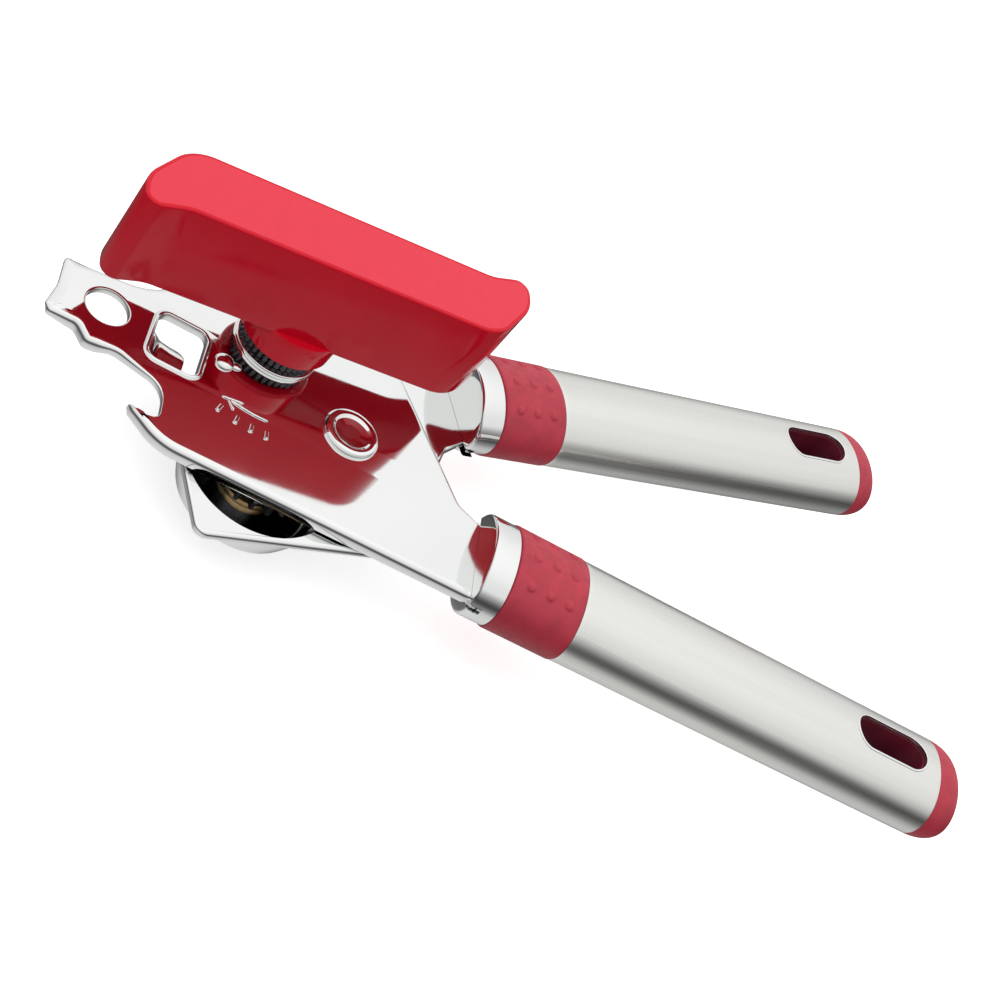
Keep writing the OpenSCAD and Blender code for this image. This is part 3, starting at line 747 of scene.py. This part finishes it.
def grip_sleeve():
    """The rubber ring: a rounded sleeve whose outer face swells by h sqrt(1 - (d / r)^2)^0.8 over each dot.

    d is the distance over the surface from the nearest dot's centre. Three rows of three dots run
    along the ring's top, and the same three along its underside.
    """
    steps = 320
    t = full_turn(steps)
    outer = np.concatenate([[35.52, 35.56, 35.68, 35.86], np.linspace(36.1, 50.6, 74), [50.84, 51.0, 51.08]])
    proud = np.concatenate([[-0.45, -0.2, 0.0, 0.1], np.full(74, 0.15), [0.1, 0.0, -0.2]])
    inner = np.array([[51.08, -1.0], [43.0, -1.0], [35.52, -1.0]])
    around = girth(TUBE_A, TUBE_B, t)
    whole = girth(TUBE_A, TUBE_B, 2 * math.pi)
    rows = girth(TUBE_A, TUBE_B, np.radians([57, 90, 123, 237, 270, 303]))
    gap = np.abs(around[None] - rows[:, None])
    gap = np.minimum(gap, whole - gap).min(0)
    along = np.abs(outer[:, None] - np.array([39.1, 43.4, 47.7])).min(1)
    square = (gap[None] ** 2 + along[:, None] ** 2) / DOT_RADIUS ** 2
    swell = DOT_HEIGHT * np.sqrt(np.clip(1 - square, 0, 1)) ** 0.8
    lift = np.concatenate([proud[:, None] + swell, np.repeat(inner[:, 1:], steps, 1)])
    x = np.repeat(np.concatenate([outer, inner[:, 0]])[:, None], steps, 1)
    slope = unit(np.stack([np.cos(t) / TUBE_A, np.sin(t) / TUBE_B], -1))
    y = TUBE_A * np.cos(t) + lift * slope[:, 0]
    z = TUBE_B * np.sin(t) + lift * slope[:, 1]
    return outward(loft(np.stack([x, y, z], -1), loop=True))


def ferrule(plate_under):
    """The metal collar: two upright shells of the same oval that meet behind the plate that enters it.

    plate_under is the plate's lower face from the handle's axis. Forward of the mouth the upper
    shell sits on the plate and the lower one hangs under it, each cut flat where z would pass it.
    """
    t = full_turn(160)
    corner = np.linspace(0, math.pi / 2, 7)
    front = np.column_stack([FERRULE_FROM + 0.7 * (1 - np.sin(corner)), 0.15 + 0.7 * (1 - np.cos(corner))])
    stations = np.vstack([[[MOUTH, 0.15]], front, [[FERRULE_FROM, shrink] for shrink in (2.0, 4.5, 7.5)]])
    x = np.repeat(stations[:, :1], len(t), 1)
    y = (TUBE_A - stations[:, 1:]) * np.cos(t)
    z = np.maximum(TUBE_B - stations[:, 1:], 0.3) * np.sin(t)
    top, bottom = plate_under + 1.55, plate_under - 0.05
    upper = outward(loft(np.stack([x, y, np.maximum(z, top)], -1)))
    lower = outward(loft(np.stack([x, y, np.minimum(z, bottom)], -1)))
    band = outward(loft(ovals([[MOUTH, 0.15], [35.35, 0.15], [35.45, 0.3], [35.45, 1.2]], 160)))
    return upper, lower, band


def end_cap():
    """The domed cap: a short rim, then shrink = 0.03 + 3 (1 - cos t) while x runs out by 6.3 sin t."""
    t = np.radians(np.linspace(0, 88, 18))
    rim = [[140.6, 1.0], [141.12, 0.95], [141.12, 0.15], [141.2, 0.05], [141.4, 0.03]]
    stations = np.vstack([rim, np.column_stack([141.9 + 6.3 * np.sin(t), 0.03 + 3.0 * (1 - np.cos(t))])])
    inner = [[148.19, 4.2], [148.17, 6.0]]
    return outward(loft(ovals(np.vstack([stations, inner]))))


def stadium(radius, steps):
    """A slot's outline round the slot's centre, counter-clockwise, with steps points evenly spaced along it."""
    half = (SLOT_TO - SLOT_FROM) / 2 - SLOT_R
    whole = 4 * half + 2 * math.pi * radius
    s = (np.arange(steps) / steps * whole + half + math.pi * radius / 2) % whole
    cuts = np.cumsum([2 * half, math.pi * radius, 2 * half, math.pi * radius])
    a = np.clip((s - cuts[0]) / radius, 0, math.pi)
    b = np.clip((s - cuts[2]) / radius, 0, math.pi)
    x = np.where(s < cuts[0], half - s, np.where(s < cuts[1], -half - radius * np.sin(a),
                 np.where(s < cuts[2], -half + (s - cuts[1]), half + radius * np.sin(b))))
    y = np.where(s < cuts[0], radius, np.where(s < cuts[1], radius * np.cos(a),
                 np.where(s < cuts[2], -radius, -radius * np.cos(b))))
    return (SLOT_FROM + SLOT_TO) / 2 + x, y


def tube_skin():
    """The tube's outer surface: a grid over x and the oval's angle t, with a slot above and below.

    Round each slot a patch of the grid is replaced by rings that go from the slot's outline to
    the patch's own edge, so that the metal keeps the oval's curve right up to the slot.
    """
    around, half_patch = 128, 20
    x = np.concatenate([np.linspace(TUBE_FROM, 116.1, 60), np.linspace(116.1, 139.7, 49)[1:],
                        np.linspace(139.7, TUBE_TO, 5)[1:]])
    t = 2 * math.pi * np.arange(around) / around
    grid_x, grid_t = np.meshgrid(x, t, indexing="ij")
    index = np.arange(grid_x.size).reshape(grid_x.shape)
    a, b = index[:-1], index[1:]
    quads = np.stack([a, np.roll(a, -1, 1), np.roll(b, -1, 1), b], -1)
    keep = np.ones(quads.shape[:2], bool)
    x0, x1 = 59, 107
    points = [np.stack([grid_x, grid_t], -1).reshape(-1, 2)]
    faces, total = [], grid_x.size
    for middle in (around // 4, 3 * around // 4):
        low, high = middle - half_patch, middle + half_patch
        keep[x0:x1, low:high] = False
        edge = np.concatenate([
            index[x1, middle:high], index[x0 + 1:x1 + 1, high][::-1],
            index[x0, low + 1:high + 1][::-1], index[x0:x1, low], index[x1, low:middle],
        ])
        edge_x, edge_t = points[0][edge].T
        count = len(edge)
        slot_x, slot_y = stadium(SLOT_R, count)
        side = 1.0 if middle < around // 2 else -1.0
        slot_t = np.arccos(np.clip(slot_y / TUBE_A, -1, 1))
        slot_t = slot_t if side > 0 else 2 * math.pi - slot_t
        order = np.argmin(np.hypot(slot_x - edge_x[0], (slot_t - edge_t[0]) * TUBE_A))
        turned = np.roll(np.stack([slot_x, slot_t], -1), -order, 0)
        flipped = np.roll(turned[::-1], 1, 0)
        target = np.stack([edge_x, edge_t], -1)
        scale = np.array([1, TUBE_A])
        same = np.abs((turned - target) * scale).sum() < np.abs((flipped - target) * scale).sum()
        slot = turned if same else flipped
        k = (np.linspace(0, 1, 15) ** 1.25)[:-1, None, None]
        rings = slot * (1 - k) + target * k
        numbers = np.concatenate([total + np.arange(14 * count).reshape(14, count), edge[None]])
        points.append(rings.reshape(-1, 2))
        u, v = numbers[:-1], numbers[1:]
        patch = np.stack([u, np.roll(u, -1, 1), np.roll(v, -1, 1), v], -1).reshape(-1, 4)
        faces.append(patch)
        total += 14 * count
    faces.append(quads[keep])
    flat = np.concatenate(points)
    surface = np.stack([flat[:, 0], TUBE_A * np.cos(flat[:, 1]), TUBE_B * np.sin(flat[:, 1])], -1)
    out = np.stack([0 * flat[:, 0], np.cos(flat[:, 1]), np.sin(flat[:, 1])], -1)
    fixed = []
    for face in faces:
        p = surface[face]
        normal = np.cross(p[:, 2] - p[:, 0], p[:, 3] - p[:, 1])
        wrong = (normal * out[face[:, 0]]).sum(1) < 0
        face = face.copy()
        face[wrong] = face[wrong][:, ::-1]
        fixed.append(face)
    return surface, fixed


def skin_ring(radius, side, rise):
    """A stadium ring laid on the oval tube above (side 1) or below (-1), lifted off its skin by rise."""
    x, y = stadium(radius, 120)
    return np.stack([x, y, side * (TUBE_B * np.sqrt(1 - (y / TUBE_A) ** 2) + rise)], -1)


def slot_bead(side):
    """The rolled edge of a slot: a ring of radius r round the stadium, on the oval's skin at height z.

    r = 4.2 + 0.26 cos a and the skin is raised by 0.2 sin a, with a from 0 to 180 degrees.
    """
    a = np.linspace(0, math.pi, 7)
    rows = [*zip(4.2 + 0.26 * np.cos(a), 0.2 * np.sin(a) - 0.02), (3.94, -0.3), (4.46, -0.3)]
    return outward(loft([skin_ring(radius, side, rise) for radius, rise in rows], loop=True))


def slot_lining():
    """The moulding seen in a slot: a stadium sleeve that follows the oval just under the tube's skin."""
    rim = ((4.05, 1.3), (3.95, 1.0), (3.75, 0.9), (3.64, 1.05), (3.62, 1.4))
    rings = [skin_ring(radius, 1, -depth) for radius, depth in rim]
    rings += [skin_ring(radius, -1, -depth) for radius, depth in rim[::-1]]
    return outward(loft(rings, loop=True))


# ---- knob and drive --------------------------------------------------------

KNOB_TURN, KNOB_TOP = math.radians(10.7), 29.5
KNOB_END = [[31.5, -7.95, 9], [39.6, 3.2, 10], [39.4, 10.9, 2.6], [31, 7.85, 10]]


def knob_body():
    """The knob: a straight prism over an outline that is the same after half a turn, with rounded edges."""
    half = np.array(KNOB_END)
    other = half * [-1, -1, 1]
    corners = np.concatenate([half, other])[::-1]
    top = fillet(0.45, 5) + [0, KNOB_TOP]
    foot = np.array([[0, 20], [0, 10.4], [0.05, 10.2], [0.15, 10.05], [0.3, 10.0], [1.4, 10.0]])
    profile = np.vstack([[[0.8, KNOB_TOP]], top, foot])
    rings = edge_rings(corners, same_edge(corners, profile), 24)
    points, faces, top_face = slab([rings], split=True)
    return turned(points, KNOB_TURN), faces, top_face


def gear_ring(low, high, phase, bore, teeth=20):
    """A spur gear: straight-sided teeth from the root to the tip, small chamfers on both faces, and a bore."""
    pitch, module = GEAR_GAP / 2, GEAR_GAP / teeth
    tip, root = pitch + module, pitch - 1.2 * module
    step = 2 * math.pi / teeth
    base = np.array([-0.31, -0.24, -0.17, -0.1, -0.04, 0.04, 0.1, 0.17, 0.24, 0.31]) * step
    reach = root + (tip - root) * np.array([0, 1 / 3, 2 / 3, 1, 1, 1, 1, 2 / 3, 1 / 3, 0])
    angle = (phase + np.arange(teeth)[:, None] * step + base).ravel()
    radius = np.tile(reach, teeth)
    rows = ((high, radius - 0.25), (high - 0.25, radius), (low + 0.25, radius), (low, radius - 0.25),
            (low, bore), (high, bore))
    return round_rings(angle, rows)


def serrated_wheel(low, high, radius, teeth, depth, bore):
    """The feed wheel: radius - depth |sin(teeth t / 2)| round its rim, with chamfered faces and a bore."""
    t = full_turn(teeth * 10)
    wave = radius - depth * (1 - np.abs(np.cos(teeth * t / 2)))
    return round_rings(t, ((high, wave - 0.5), (high - 0.4, wave), (low + 0.4, wave), (low, wave - 0.5),
                           (low, bore), (high, bore)))


def hex_nut(low, high, radius, bore):
    """A hexagon nut: six flats whose corners are trimmed by a cone, and a bore."""
    t = full_turn(120)
    flat = radius * math.cos(math.pi / 6) / np.cos((t + math.pi / 6) % (math.pi / 3) - math.pi / 6)
    return round_rings(t, ((high, np.minimum(flat, radius * 0.93)), (high - 0.3, flat), (low + 0.5, flat),
                           (low, np.minimum(flat, radius * 0.9)), (low, bore), (high, bore)))


# ---- settings --------------------------------------------------------------

def colour(name, description, default):
    """A colour setting."""
    return bpy.props.FloatVectorProperty(
        name=name, description=description, subtype="COLOR", size=3, min=0.0, max=1.0, default=default
    )


def number(name, description, default, **limits):
    """A number setting."""
    return bpy.props.FloatProperty(name=name, description=description, default=default, **limits)


class OpenerFinish(bpy.types.PropertyGroup):
    """Colours and gloss of the opener's finishes."""

    chrome: colour("Chrome", "Colour of the plated parts", (0.86, 0.87, 0.86))
    chrome_gloss: number("Chrome Roughness", "Lowest roughness of the plating", 0.03, min=0.0, max=0.5)
    steel: colour("Brushed Steel", "Colour of the handle tubes", (0.80, 0.795, 0.765))
    brushed_gloss: number("Brushed Roughness", "Middle roughness of the brushed tubes", 0.27, min=0.05, max=0.8)
    turned: colour("Turned Steel", "Colour of the wheels and shafts", (0.52, 0.51, 0.49))
    blued: colour("Dark Steel", "Colour of the gears and the knurled collar", (0.09, 0.09, 0.10))
    bronze: colour("Bronze", "Colour of the bushings", (0.50, 0.34, 0.17))
    rubber: colour("Rubber", "Colour of the grip rings and end caps", (0.48, 0.030, 0.055))
    knob: colour("Knob Sides", "Colour of the knob's glossy sides", (0.68, 0.003, 0.020))
    # The top's colour is lighter than the sides': painted light where the light from above falls on the top.
    knob_top_painted_light: colour("Knob Top", "Colour of the knob's satin top", (0.79, 0.014, 0.045))
    core: colour("Core", "Colour of the moulding inside the handles", (0.15, 0.010, 0.026))


class OpenerStage(bpy.types.PropertyGroup):
    """Camera, floor and lights."""

    camera_place: bpy.props.FloatVectorProperty(
        name="Camera Place", description="Where the camera stands", size=3, subtype="TRANSLATION", unit="LENGTH",
        default=(-0.03237, -0.23207, 0.21256))
    camera_turn: bpy.props.FloatVectorProperty(
        name="Camera Turn", description="How the camera is turned, about X, Y and Z", size=3, subtype="EULER",
        unit="ROTATION", default=(0.7168535, -0.5812453, 0.1006596))
    lens: number("Lens", "Focal length on a 36 mm sensor, in millimetres", 61.51, min=20, max=200)
    softbox_watts: number("Softbox Power", "Power of the big softbox behind the opener", 1.2, min=0, unit="POWER")
    overhead_watts: number("Overhead Power", "Power of the light above the opener", 1.2, min=0, unit="POWER")
    fill_watts: number("Fill Power", "Power of the weak light beside the camera", 0.5, min=0, unit="POWER")
    room: number("Room Light", "Brightness of the white room all round", 1.0, min=0)


# ---- operators -------------------------------------------------------------

class OPENER_OT_front_plate(bpy.types.Operator):
    """Build the pressed front plate with its window, tongue, stop stud and turning marks"""

    bl_idname = "opener.front_plate"
    bl_label = "Front Plate"

    def execute(self, context):
        shells = [front_sheet(), tongue(), dome((-27.2, 1.6), 2.05, 1.2), dome((-24.9, 2.0), 1.0, 0.6, (1.2, 0.9))]
        plain("front_plate_pressing", shells + turning_marks(), FRONT, "chrome", "front_frame",
              "front_plate")
        return {"FINISHED"}


class OPENER_OT_back_plate(bpy.types.Operator):
    """Build the back plate with its gear cup, and the cutter's bushing"""

    bl_idname = "opener.back_plate"
    bl_label = "Back Plate"

    def execute(self, context):
        plain("back_plate_pressing", [outward(back_sheet()), gear_cup()], BACK, "chrome", "back_frame",
              "back_plate")
        bushing = lathe([[3.05, -12.05, 0.1], [5.6, -12.05, 0.1], [5.6, -10.6, 0.05], [6.0, -10.45, 0.1],
                         [6.0, -9.3, 0.2], [3.05, -9.3, 0.2]])
        plain("cutter_bush", [bushing], AT_SPINDLE, "bronze", "back_frame", "cutter_bushing")
        return {"FINISHED"}


class OPENER_OT_hinge(bpy.types.Operator):
    """Build the dished rivet, the washers and the shaft's bushing"""

    bl_idname = "opener.hinge"
    bl_label = "Rivet and Washers"

    def execute(self, context):
        rivet = lathe([[0.02, 0.3, 0], [2.0, 0.32, 2], [3.6, 0.62, 0.8], [4.15, 1.02, 0.25], [4.75, 1.1, 0.3],
                       [5.35, 0.98, 0.4], [5.75, 0.45, 0.3], [5.8, -0.1, 0.1], [3.0, -0.1, 0.05], [3.0, -4.8, 0.05],
                       [5.2, -4.8, 0.1], [5.2, -5.5, 0.4], [4.2, -6.1, 0.8], [0.02, -6.1, 0]], bore=False)
        spacer = lathe([[3.02, -3.1, 0.1], [5.8, -3.1, 0.2], [5.8, -1.5, 0.2], [3.02, -1.5, 0.1]])
        bush = lathe([[2.65, -3.0, 0.1], [6.4, -3.0, 0.2], [6.4, -1.5, 0.1], [4.2, -1.5, 0.05], [4.2, 0.9, 0.1],
                      [2.65, 0.9, 0.1]])
        washer = lathe([[4.2, 0.0, 0.05], [8.65, 0.0, 0.1], [8.65, 0.9, 0.35], [4.2, 0.9, 0.1]])
        for name, shell, place, key, slot, node in (
            ("dished_rivet", rivet, FRONT, "chrome", "chrome_plate", "pivot_rivet"),
            ("hinge_spacer", spacer, FRONT, "turned", "turned_steel", "pivot_washer"),
            ("shaft_bush", bush, AT_SHAFT, "bronze", "bronze", "shaft_bushing"),
            ("bright_washer", washer, AT_SHAFT, "chrome", "chrome_plate", "shaft_washer"),
        ):
            plain(name, [shell], place, key, "front_frame", node)
        return {"FINISHED"}


class OPENER_OT_handles(bpy.types.Operator):
    """Build both handles: ferrule, rubber ring, brushed tube, slot lining and end cap"""

    bl_idname = "opener.handles"
    bl_label = "Handles"

    def execute(self, context):
        for side, name, body in ((-1, "lower", "front_frame"), (1, "upper", "back_frame")):
            place = handle_place(side)
            under = (UNDER if side < 0 else BACK_UNDER) - HANDLE_LEVEL
            plain(f"{name}_collar", ferrule(under), place, "chrome", body, f"{name}_ferrule", 50)
            plain(f"{name}_grip", [grip_sleeve()], place, "rubber", body, f"{name}_grip_ring", 60)
            tube = plain(f"{name}_tube", [tube_skin()], place, f"brushed_{name}", body,
                         f"{name}_handle_tube", 60)
            wall = tube.modifiers.new("wall", "SOLIDIFY")
            wall.thickness = TUBE_WALL * MM
            wall.offset = -1.0
            lip = tube.modifiers.new("lip", "BEVEL")
            lip.width = 0.16 * MM
            lip.segments = 2
            lip.limit_method = "ANGLE"
            lip.angle_limit = math.radians(50)
            plain(f"{name}_slot_beads", [slot_bead(-1), slot_bead(1)], place, "chrome", body)
            plain(f"{name}_slot_lining", [slot_lining()], place, "core", body)
            plain(f"{name}_cap", [end_cap()], place, "rubber", body, f"{name}_end_cap", 50)
            core = frame["nodes"][f"{name}_handle_core"]
            core.data.materials.clear()
            core.data.materials.append(finish("core"))
        return {"FINISHED"}


class OPENER_OT_knob(bpy.types.Operator):
    """Build the long turning knob with its hub, and the knurled collar"""

    bl_idname = "opener.knob"
    bl_label = "Knob"

    def execute(self, context):
        points, faces, top = knob_body()
        hub = lathe([[0.02, 3.95, 0], [9.0, 3.95, 0.4], [9.5, 4.6, 0.3], [9.75, 9.0, 0.5], [9.75, 10.6, 0.1],
                     [0.02, 10.6, 0]], bore=False)
        body = placed(points, *AT_SHAFT)
        # The top face takes the satin finish, whose lighter colour is painted light on the top.
        shells = [((body, faces), 0), ((body, [top]), 1), (moved(hub, AT_SHAFT), 0)]
        knob = piece("turning_knob", shells, [finish("gloss"), finish("satin")], "knob_drive",
                     ("turn_knob",))
        merge_doubles(knob)
        collar = lathe([[2.6, 1.0, 0.05], [7.3, 1.0, 0.2], [7.9, 1.5, 0.25], [7.9, 3.4, 0.25], [7.3, 3.9, 0.2],
                        [2.6, 3.9, 0.05]], steps=432, knurls=36, depth=0.55)
        plain("knurled_ring", [collar], AT_SHAFT, "blued", "knob_drive", "knurled_collar")
        return {"FINISHED"}


class OPENER_OT_drive(bpy.types.Operator):
    """Build the drive shaft, its gear, the feed wheel and the nut"""

    bl_idname = "opener.drive"
    bl_label = "Drive"

    def execute(self, context):
        rod = lathe([[0.02, 17.4, 0], [2.6, 17.4, 0.2], [2.6, -19.7, 0.3], [2.3, -20.1, 0.2], [0.02, -20.1, 0]],
                    bore=False)
        gear = gear_ring(-5.6, -3.1, math.radians(-90) + math.asin(1 / GEAR_GAP), 2.6)
        wheel = serrated_wheel(-18.2, -14.2, 8.0, 24, 0.9, 2.6)
        nut = lathe([[2.61, -18.2, 0.05], [4.6, -18.2, 0.1], [4.6, -20.3, 0.4], [0.3, -20.6, 0.1], [0.3, -20.12, 0.05],
                     [2.61, -20.12, 0.05]])
        for name, shell, key, node in (
            ("drive_rod", rod, "turned", "drive_shaft"), ("drive_pinion", gear, "blued", "drive_gear"),
            ("feed_serrations", wheel, "turned", "feed_wheel"), ("shaft_end_nut", nut, "turned", "shaft_nut"),
        ):
            plain(name, [shell], AT_SHAFT, key, "knob_drive", node)
        return {"FINISHED"}


class OPENER_OT_cutter(bpy.types.Operator):
    """Build the driven gear, the cutter's shaft, the cutting wheel and its nut"""

    bl_idname = "opener.cutter"
    bl_label = "Cutter"

    def execute(self, context):
        phase = math.radians(90 + 9) + math.asin(1 / GEAR_GAP) + OPENING
        gear = gear_ring(-5.6, -3.1, phase, 3.0)
        collar = lathe([[3.0, -9.2, 0.05], [5.2, -9.2, 0.3], [5.2, -5.6, 0.1], [3.0, -5.6, 0.05]])
        rod = lathe([[0.02, -3.1, 0], [3.0, -3.1, 0.3], [3.0, -15.4, 0.2], [2.7, -15.8, 0.2], [0.02, -15.8, 0]],
                    bore=False)
        wheel = lathe([[3.0, -13.9, 0.05], [11.9, -13.9, 0.05], [12.2, -13.75, 0.02], [10.6, -12.5, 0.1],
                       [7.4, -12.5, 0.1], [7.2, -12.2, 0.1], [3.0, -12.2, 0.05]], steps=160)
        nut = hex_nut(-16.3, -13.9, 4.6, 2.7)
        for name, shells, key, node in (
            ("cutter_gear", [gear, collar], "blued", "driven_gear"), ("cutter_rod", [rod], "turned", "cutter_shaft"),
            ("cutter_disc", [wheel], "turned", "cutting_wheel"), ("cutter_hex_nut", [nut], "turned", "cutter_nut"),
        ):
            plain(name, shells, AT_SPINDLE, key, "cutter", node)
        return {"FINISHED"}


def merge_doubles(obj):
    """Joins points of a piece that lie within a ten-thousandth of a millimetre."""
    data = bmesh.new()
    data.from_mesh(obj.data)
    bmesh.ops.remove_doubles(data, verts=data.verts, dist=1e-7)
    loose = [v for v in data.verts if not v.link_faces]
    bmesh.ops.delete(data, geom=loose, context="VERTS")
    data.to_mesh(obj.data)
    data.free()
    obj.data.set_sharp_from_angle(angle=math.radians(32))


def area_light(name, place, target, size, watts):
    """A soft square light at place that faces target."""
    light = bpy.data.lights.new(name, "AREA")
    light.shape = "RECTANGLE"
    light.size, light.size_y = size
    light.energy = watts
    obj = bpy.data.objects.new(name, light)
    obj.location = place
    obj.rotation_euler = (Vector(target) - Vector(place)).to_track_quat("-Z", "Y").to_euler()
    obj.visible_glossy = False
    bpy.context.scene.collection.objects.link(obj)
    return obj


def stage_card(name, corners, material):
    """A flat stage sheet through four corners."""
    mesh = bpy.data.meshes.new(name)
    mesh.from_pydata([tuple(c) for c in corners], [], [(0, 1, 2, 3)])
    mesh.materials.append(material)
    obj = bpy.data.objects.new(name, mesh)
    bpy.context.scene.collection.objects.link(obj)
    return obj


def white_room(strength):
    """A studio room whose brightness follows z + 0.3 y: bright above and behind, dark low down in front."""
    world = bpy.data.worlds.new("white_room")
    world.use_nodes = True
    nodes, links = world.node_tree.nodes, world.node_tree.links
    where = nodes.new("ShaderNodeTexCoord")
    split = nodes.new("ShaderNodeSeparateXYZ")
    spread = add_node(world, "ShaderNodeMapRange", From_Min=-1.0)
    ramp = nodes.new("ShaderNodeValToRGB")
    stops = ((0.0, 0.75), (0.1, 0.62), (0.19, 0.28), (0.28, 0.1), (0.36, 0.06), (0.44, 0.14), (0.56, 0.42),
             (0.67, 0.85), (0.82, 0.9), (1.0, 1.1))
    elements = ramp.color_ramp.elements
    for place, value in stops:
        element = elements[0] if place == 0.0 else elements[-1] if place == 1.0 else elements.new(place)
        element.color = (value, value, value, 1.0)
    links.new(where.outputs["Generated"], split.inputs["Vector"])
    lean = nodes.new("ShaderNodeMath")
    lean.operation = "MULTIPLY_ADD"
    lean.inputs[1].default_value = 0.3
    links.new(split.outputs["Y"], lean.inputs[0])
    links.new(split.outputs["Z"], lean.inputs[2])
    links.new(lean.outputs["Value"], spread.inputs["Value"])
    links.new(spread.outputs["Result"], ramp.inputs["Fac"])
    links.new(ramp.outputs["Color"], nodes["Background"].inputs["Color"])
    nodes["Background"].inputs["Strength"].default_value = strength
    return world


class OPENER_OT_stage(bpy.types.Operator):
    """Build the floor, the soft lights, the white room and the camera"""

    bl_idname = "opener.stage"
    bl_label = "Stage"

    def execute(self, context):
        s = context.scene.opener_stage
        low = CAD_BOX[0][2] - 0.0002
        floor = stage_card("floor", [(-3, -3, low), (3, -3, low), (3, 3, low), (-3, 3, low)], finish("floor"))
        floor.visible_glossy = floor.visible_diffuse = False
        centre = (0.05, 0.0, 0.0)
        area_light("softbox", (0.40, 0.85, 0.75), centre, (1.2, 1.0), s.softbox_watts)
        area_light("overhead", (0.0, 0.0, 0.9), centre, (0.9, 0.9), s.overhead_watts)
        area_light("fill", (-0.35, -0.7, 0.35), centre, (0.5, 0.5), s.fill_watts)
        context.scene.world = white_room(s.room)
        context.scene.view_settings.view_transform = "Standard"
        camera = bpy.data.cameras.new("camera")
        camera.lens, camera.sensor_width = s.lens, 36.0
        camera.clip_start = 0.01
        obj = bpy.data.objects.new("camera", camera)
        obj.location = s.camera_place
        obj.rotation_euler = Euler(s.camera_turn)
        context.scene.collection.objects.link(obj)
        context.scene.camera = obj
        return {"FINISHED"}


class VIEW3D_PT_opener(bpy.types.Panel):
    """Lists the opener's pieces and settings"""

    bl_label = "Can Opener"
    bl_space_type = "VIEW_3D"
    bl_region_type = "UI"
    bl_category = "Can Opener"

    def draw(self, context):
        layout = self.layout
        for operator in OPERATORS:
            layout.operator(operator.bl_idname)
        for group, settings in (("Finish", context.scene.opener_finish), ("Stage", context.scene.opener_stage)):
            box = layout.box()
            box.label(text=group)
            for key in settings.__annotations__:
                box.prop(settings, key)


OPERATORS = (
    OPENER_OT_front_plate, OPENER_OT_back_plate, OPENER_OT_hinge, OPENER_OT_handles, OPENER_OT_knob,
    OPENER_OT_drive, OPENER_OT_cutter, OPENER_OT_stage,
)
CLASSES = (OpenerFinish, OpenerStage, *OPERATORS, VIEW3D_PT_opener)


def register():
    for cls in CLASSES:
        bpy.utils.register_class(cls)
    bpy.types.Scene.opener_finish = bpy.props.PointerProperty(type=OpenerFinish)
    bpy.types.Scene.opener_stage = bpy.props.PointerProperty(type=OpenerStage)


def unregister():
    del bpy.types.Scene.opener_stage
    del bpy.types.Scene.opener_finish
    for cls in reversed(CLASSES):
        bpy.utils.unregister_class(cls)


def main():
    """Registers the add-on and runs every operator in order."""
    register()
    for operator in OPERATORS:
        group, name = operator.bl_idname.split(".")
        getattr(getattr(bpy.ops, group), name)()


if __name__ == "__main__":
    main()
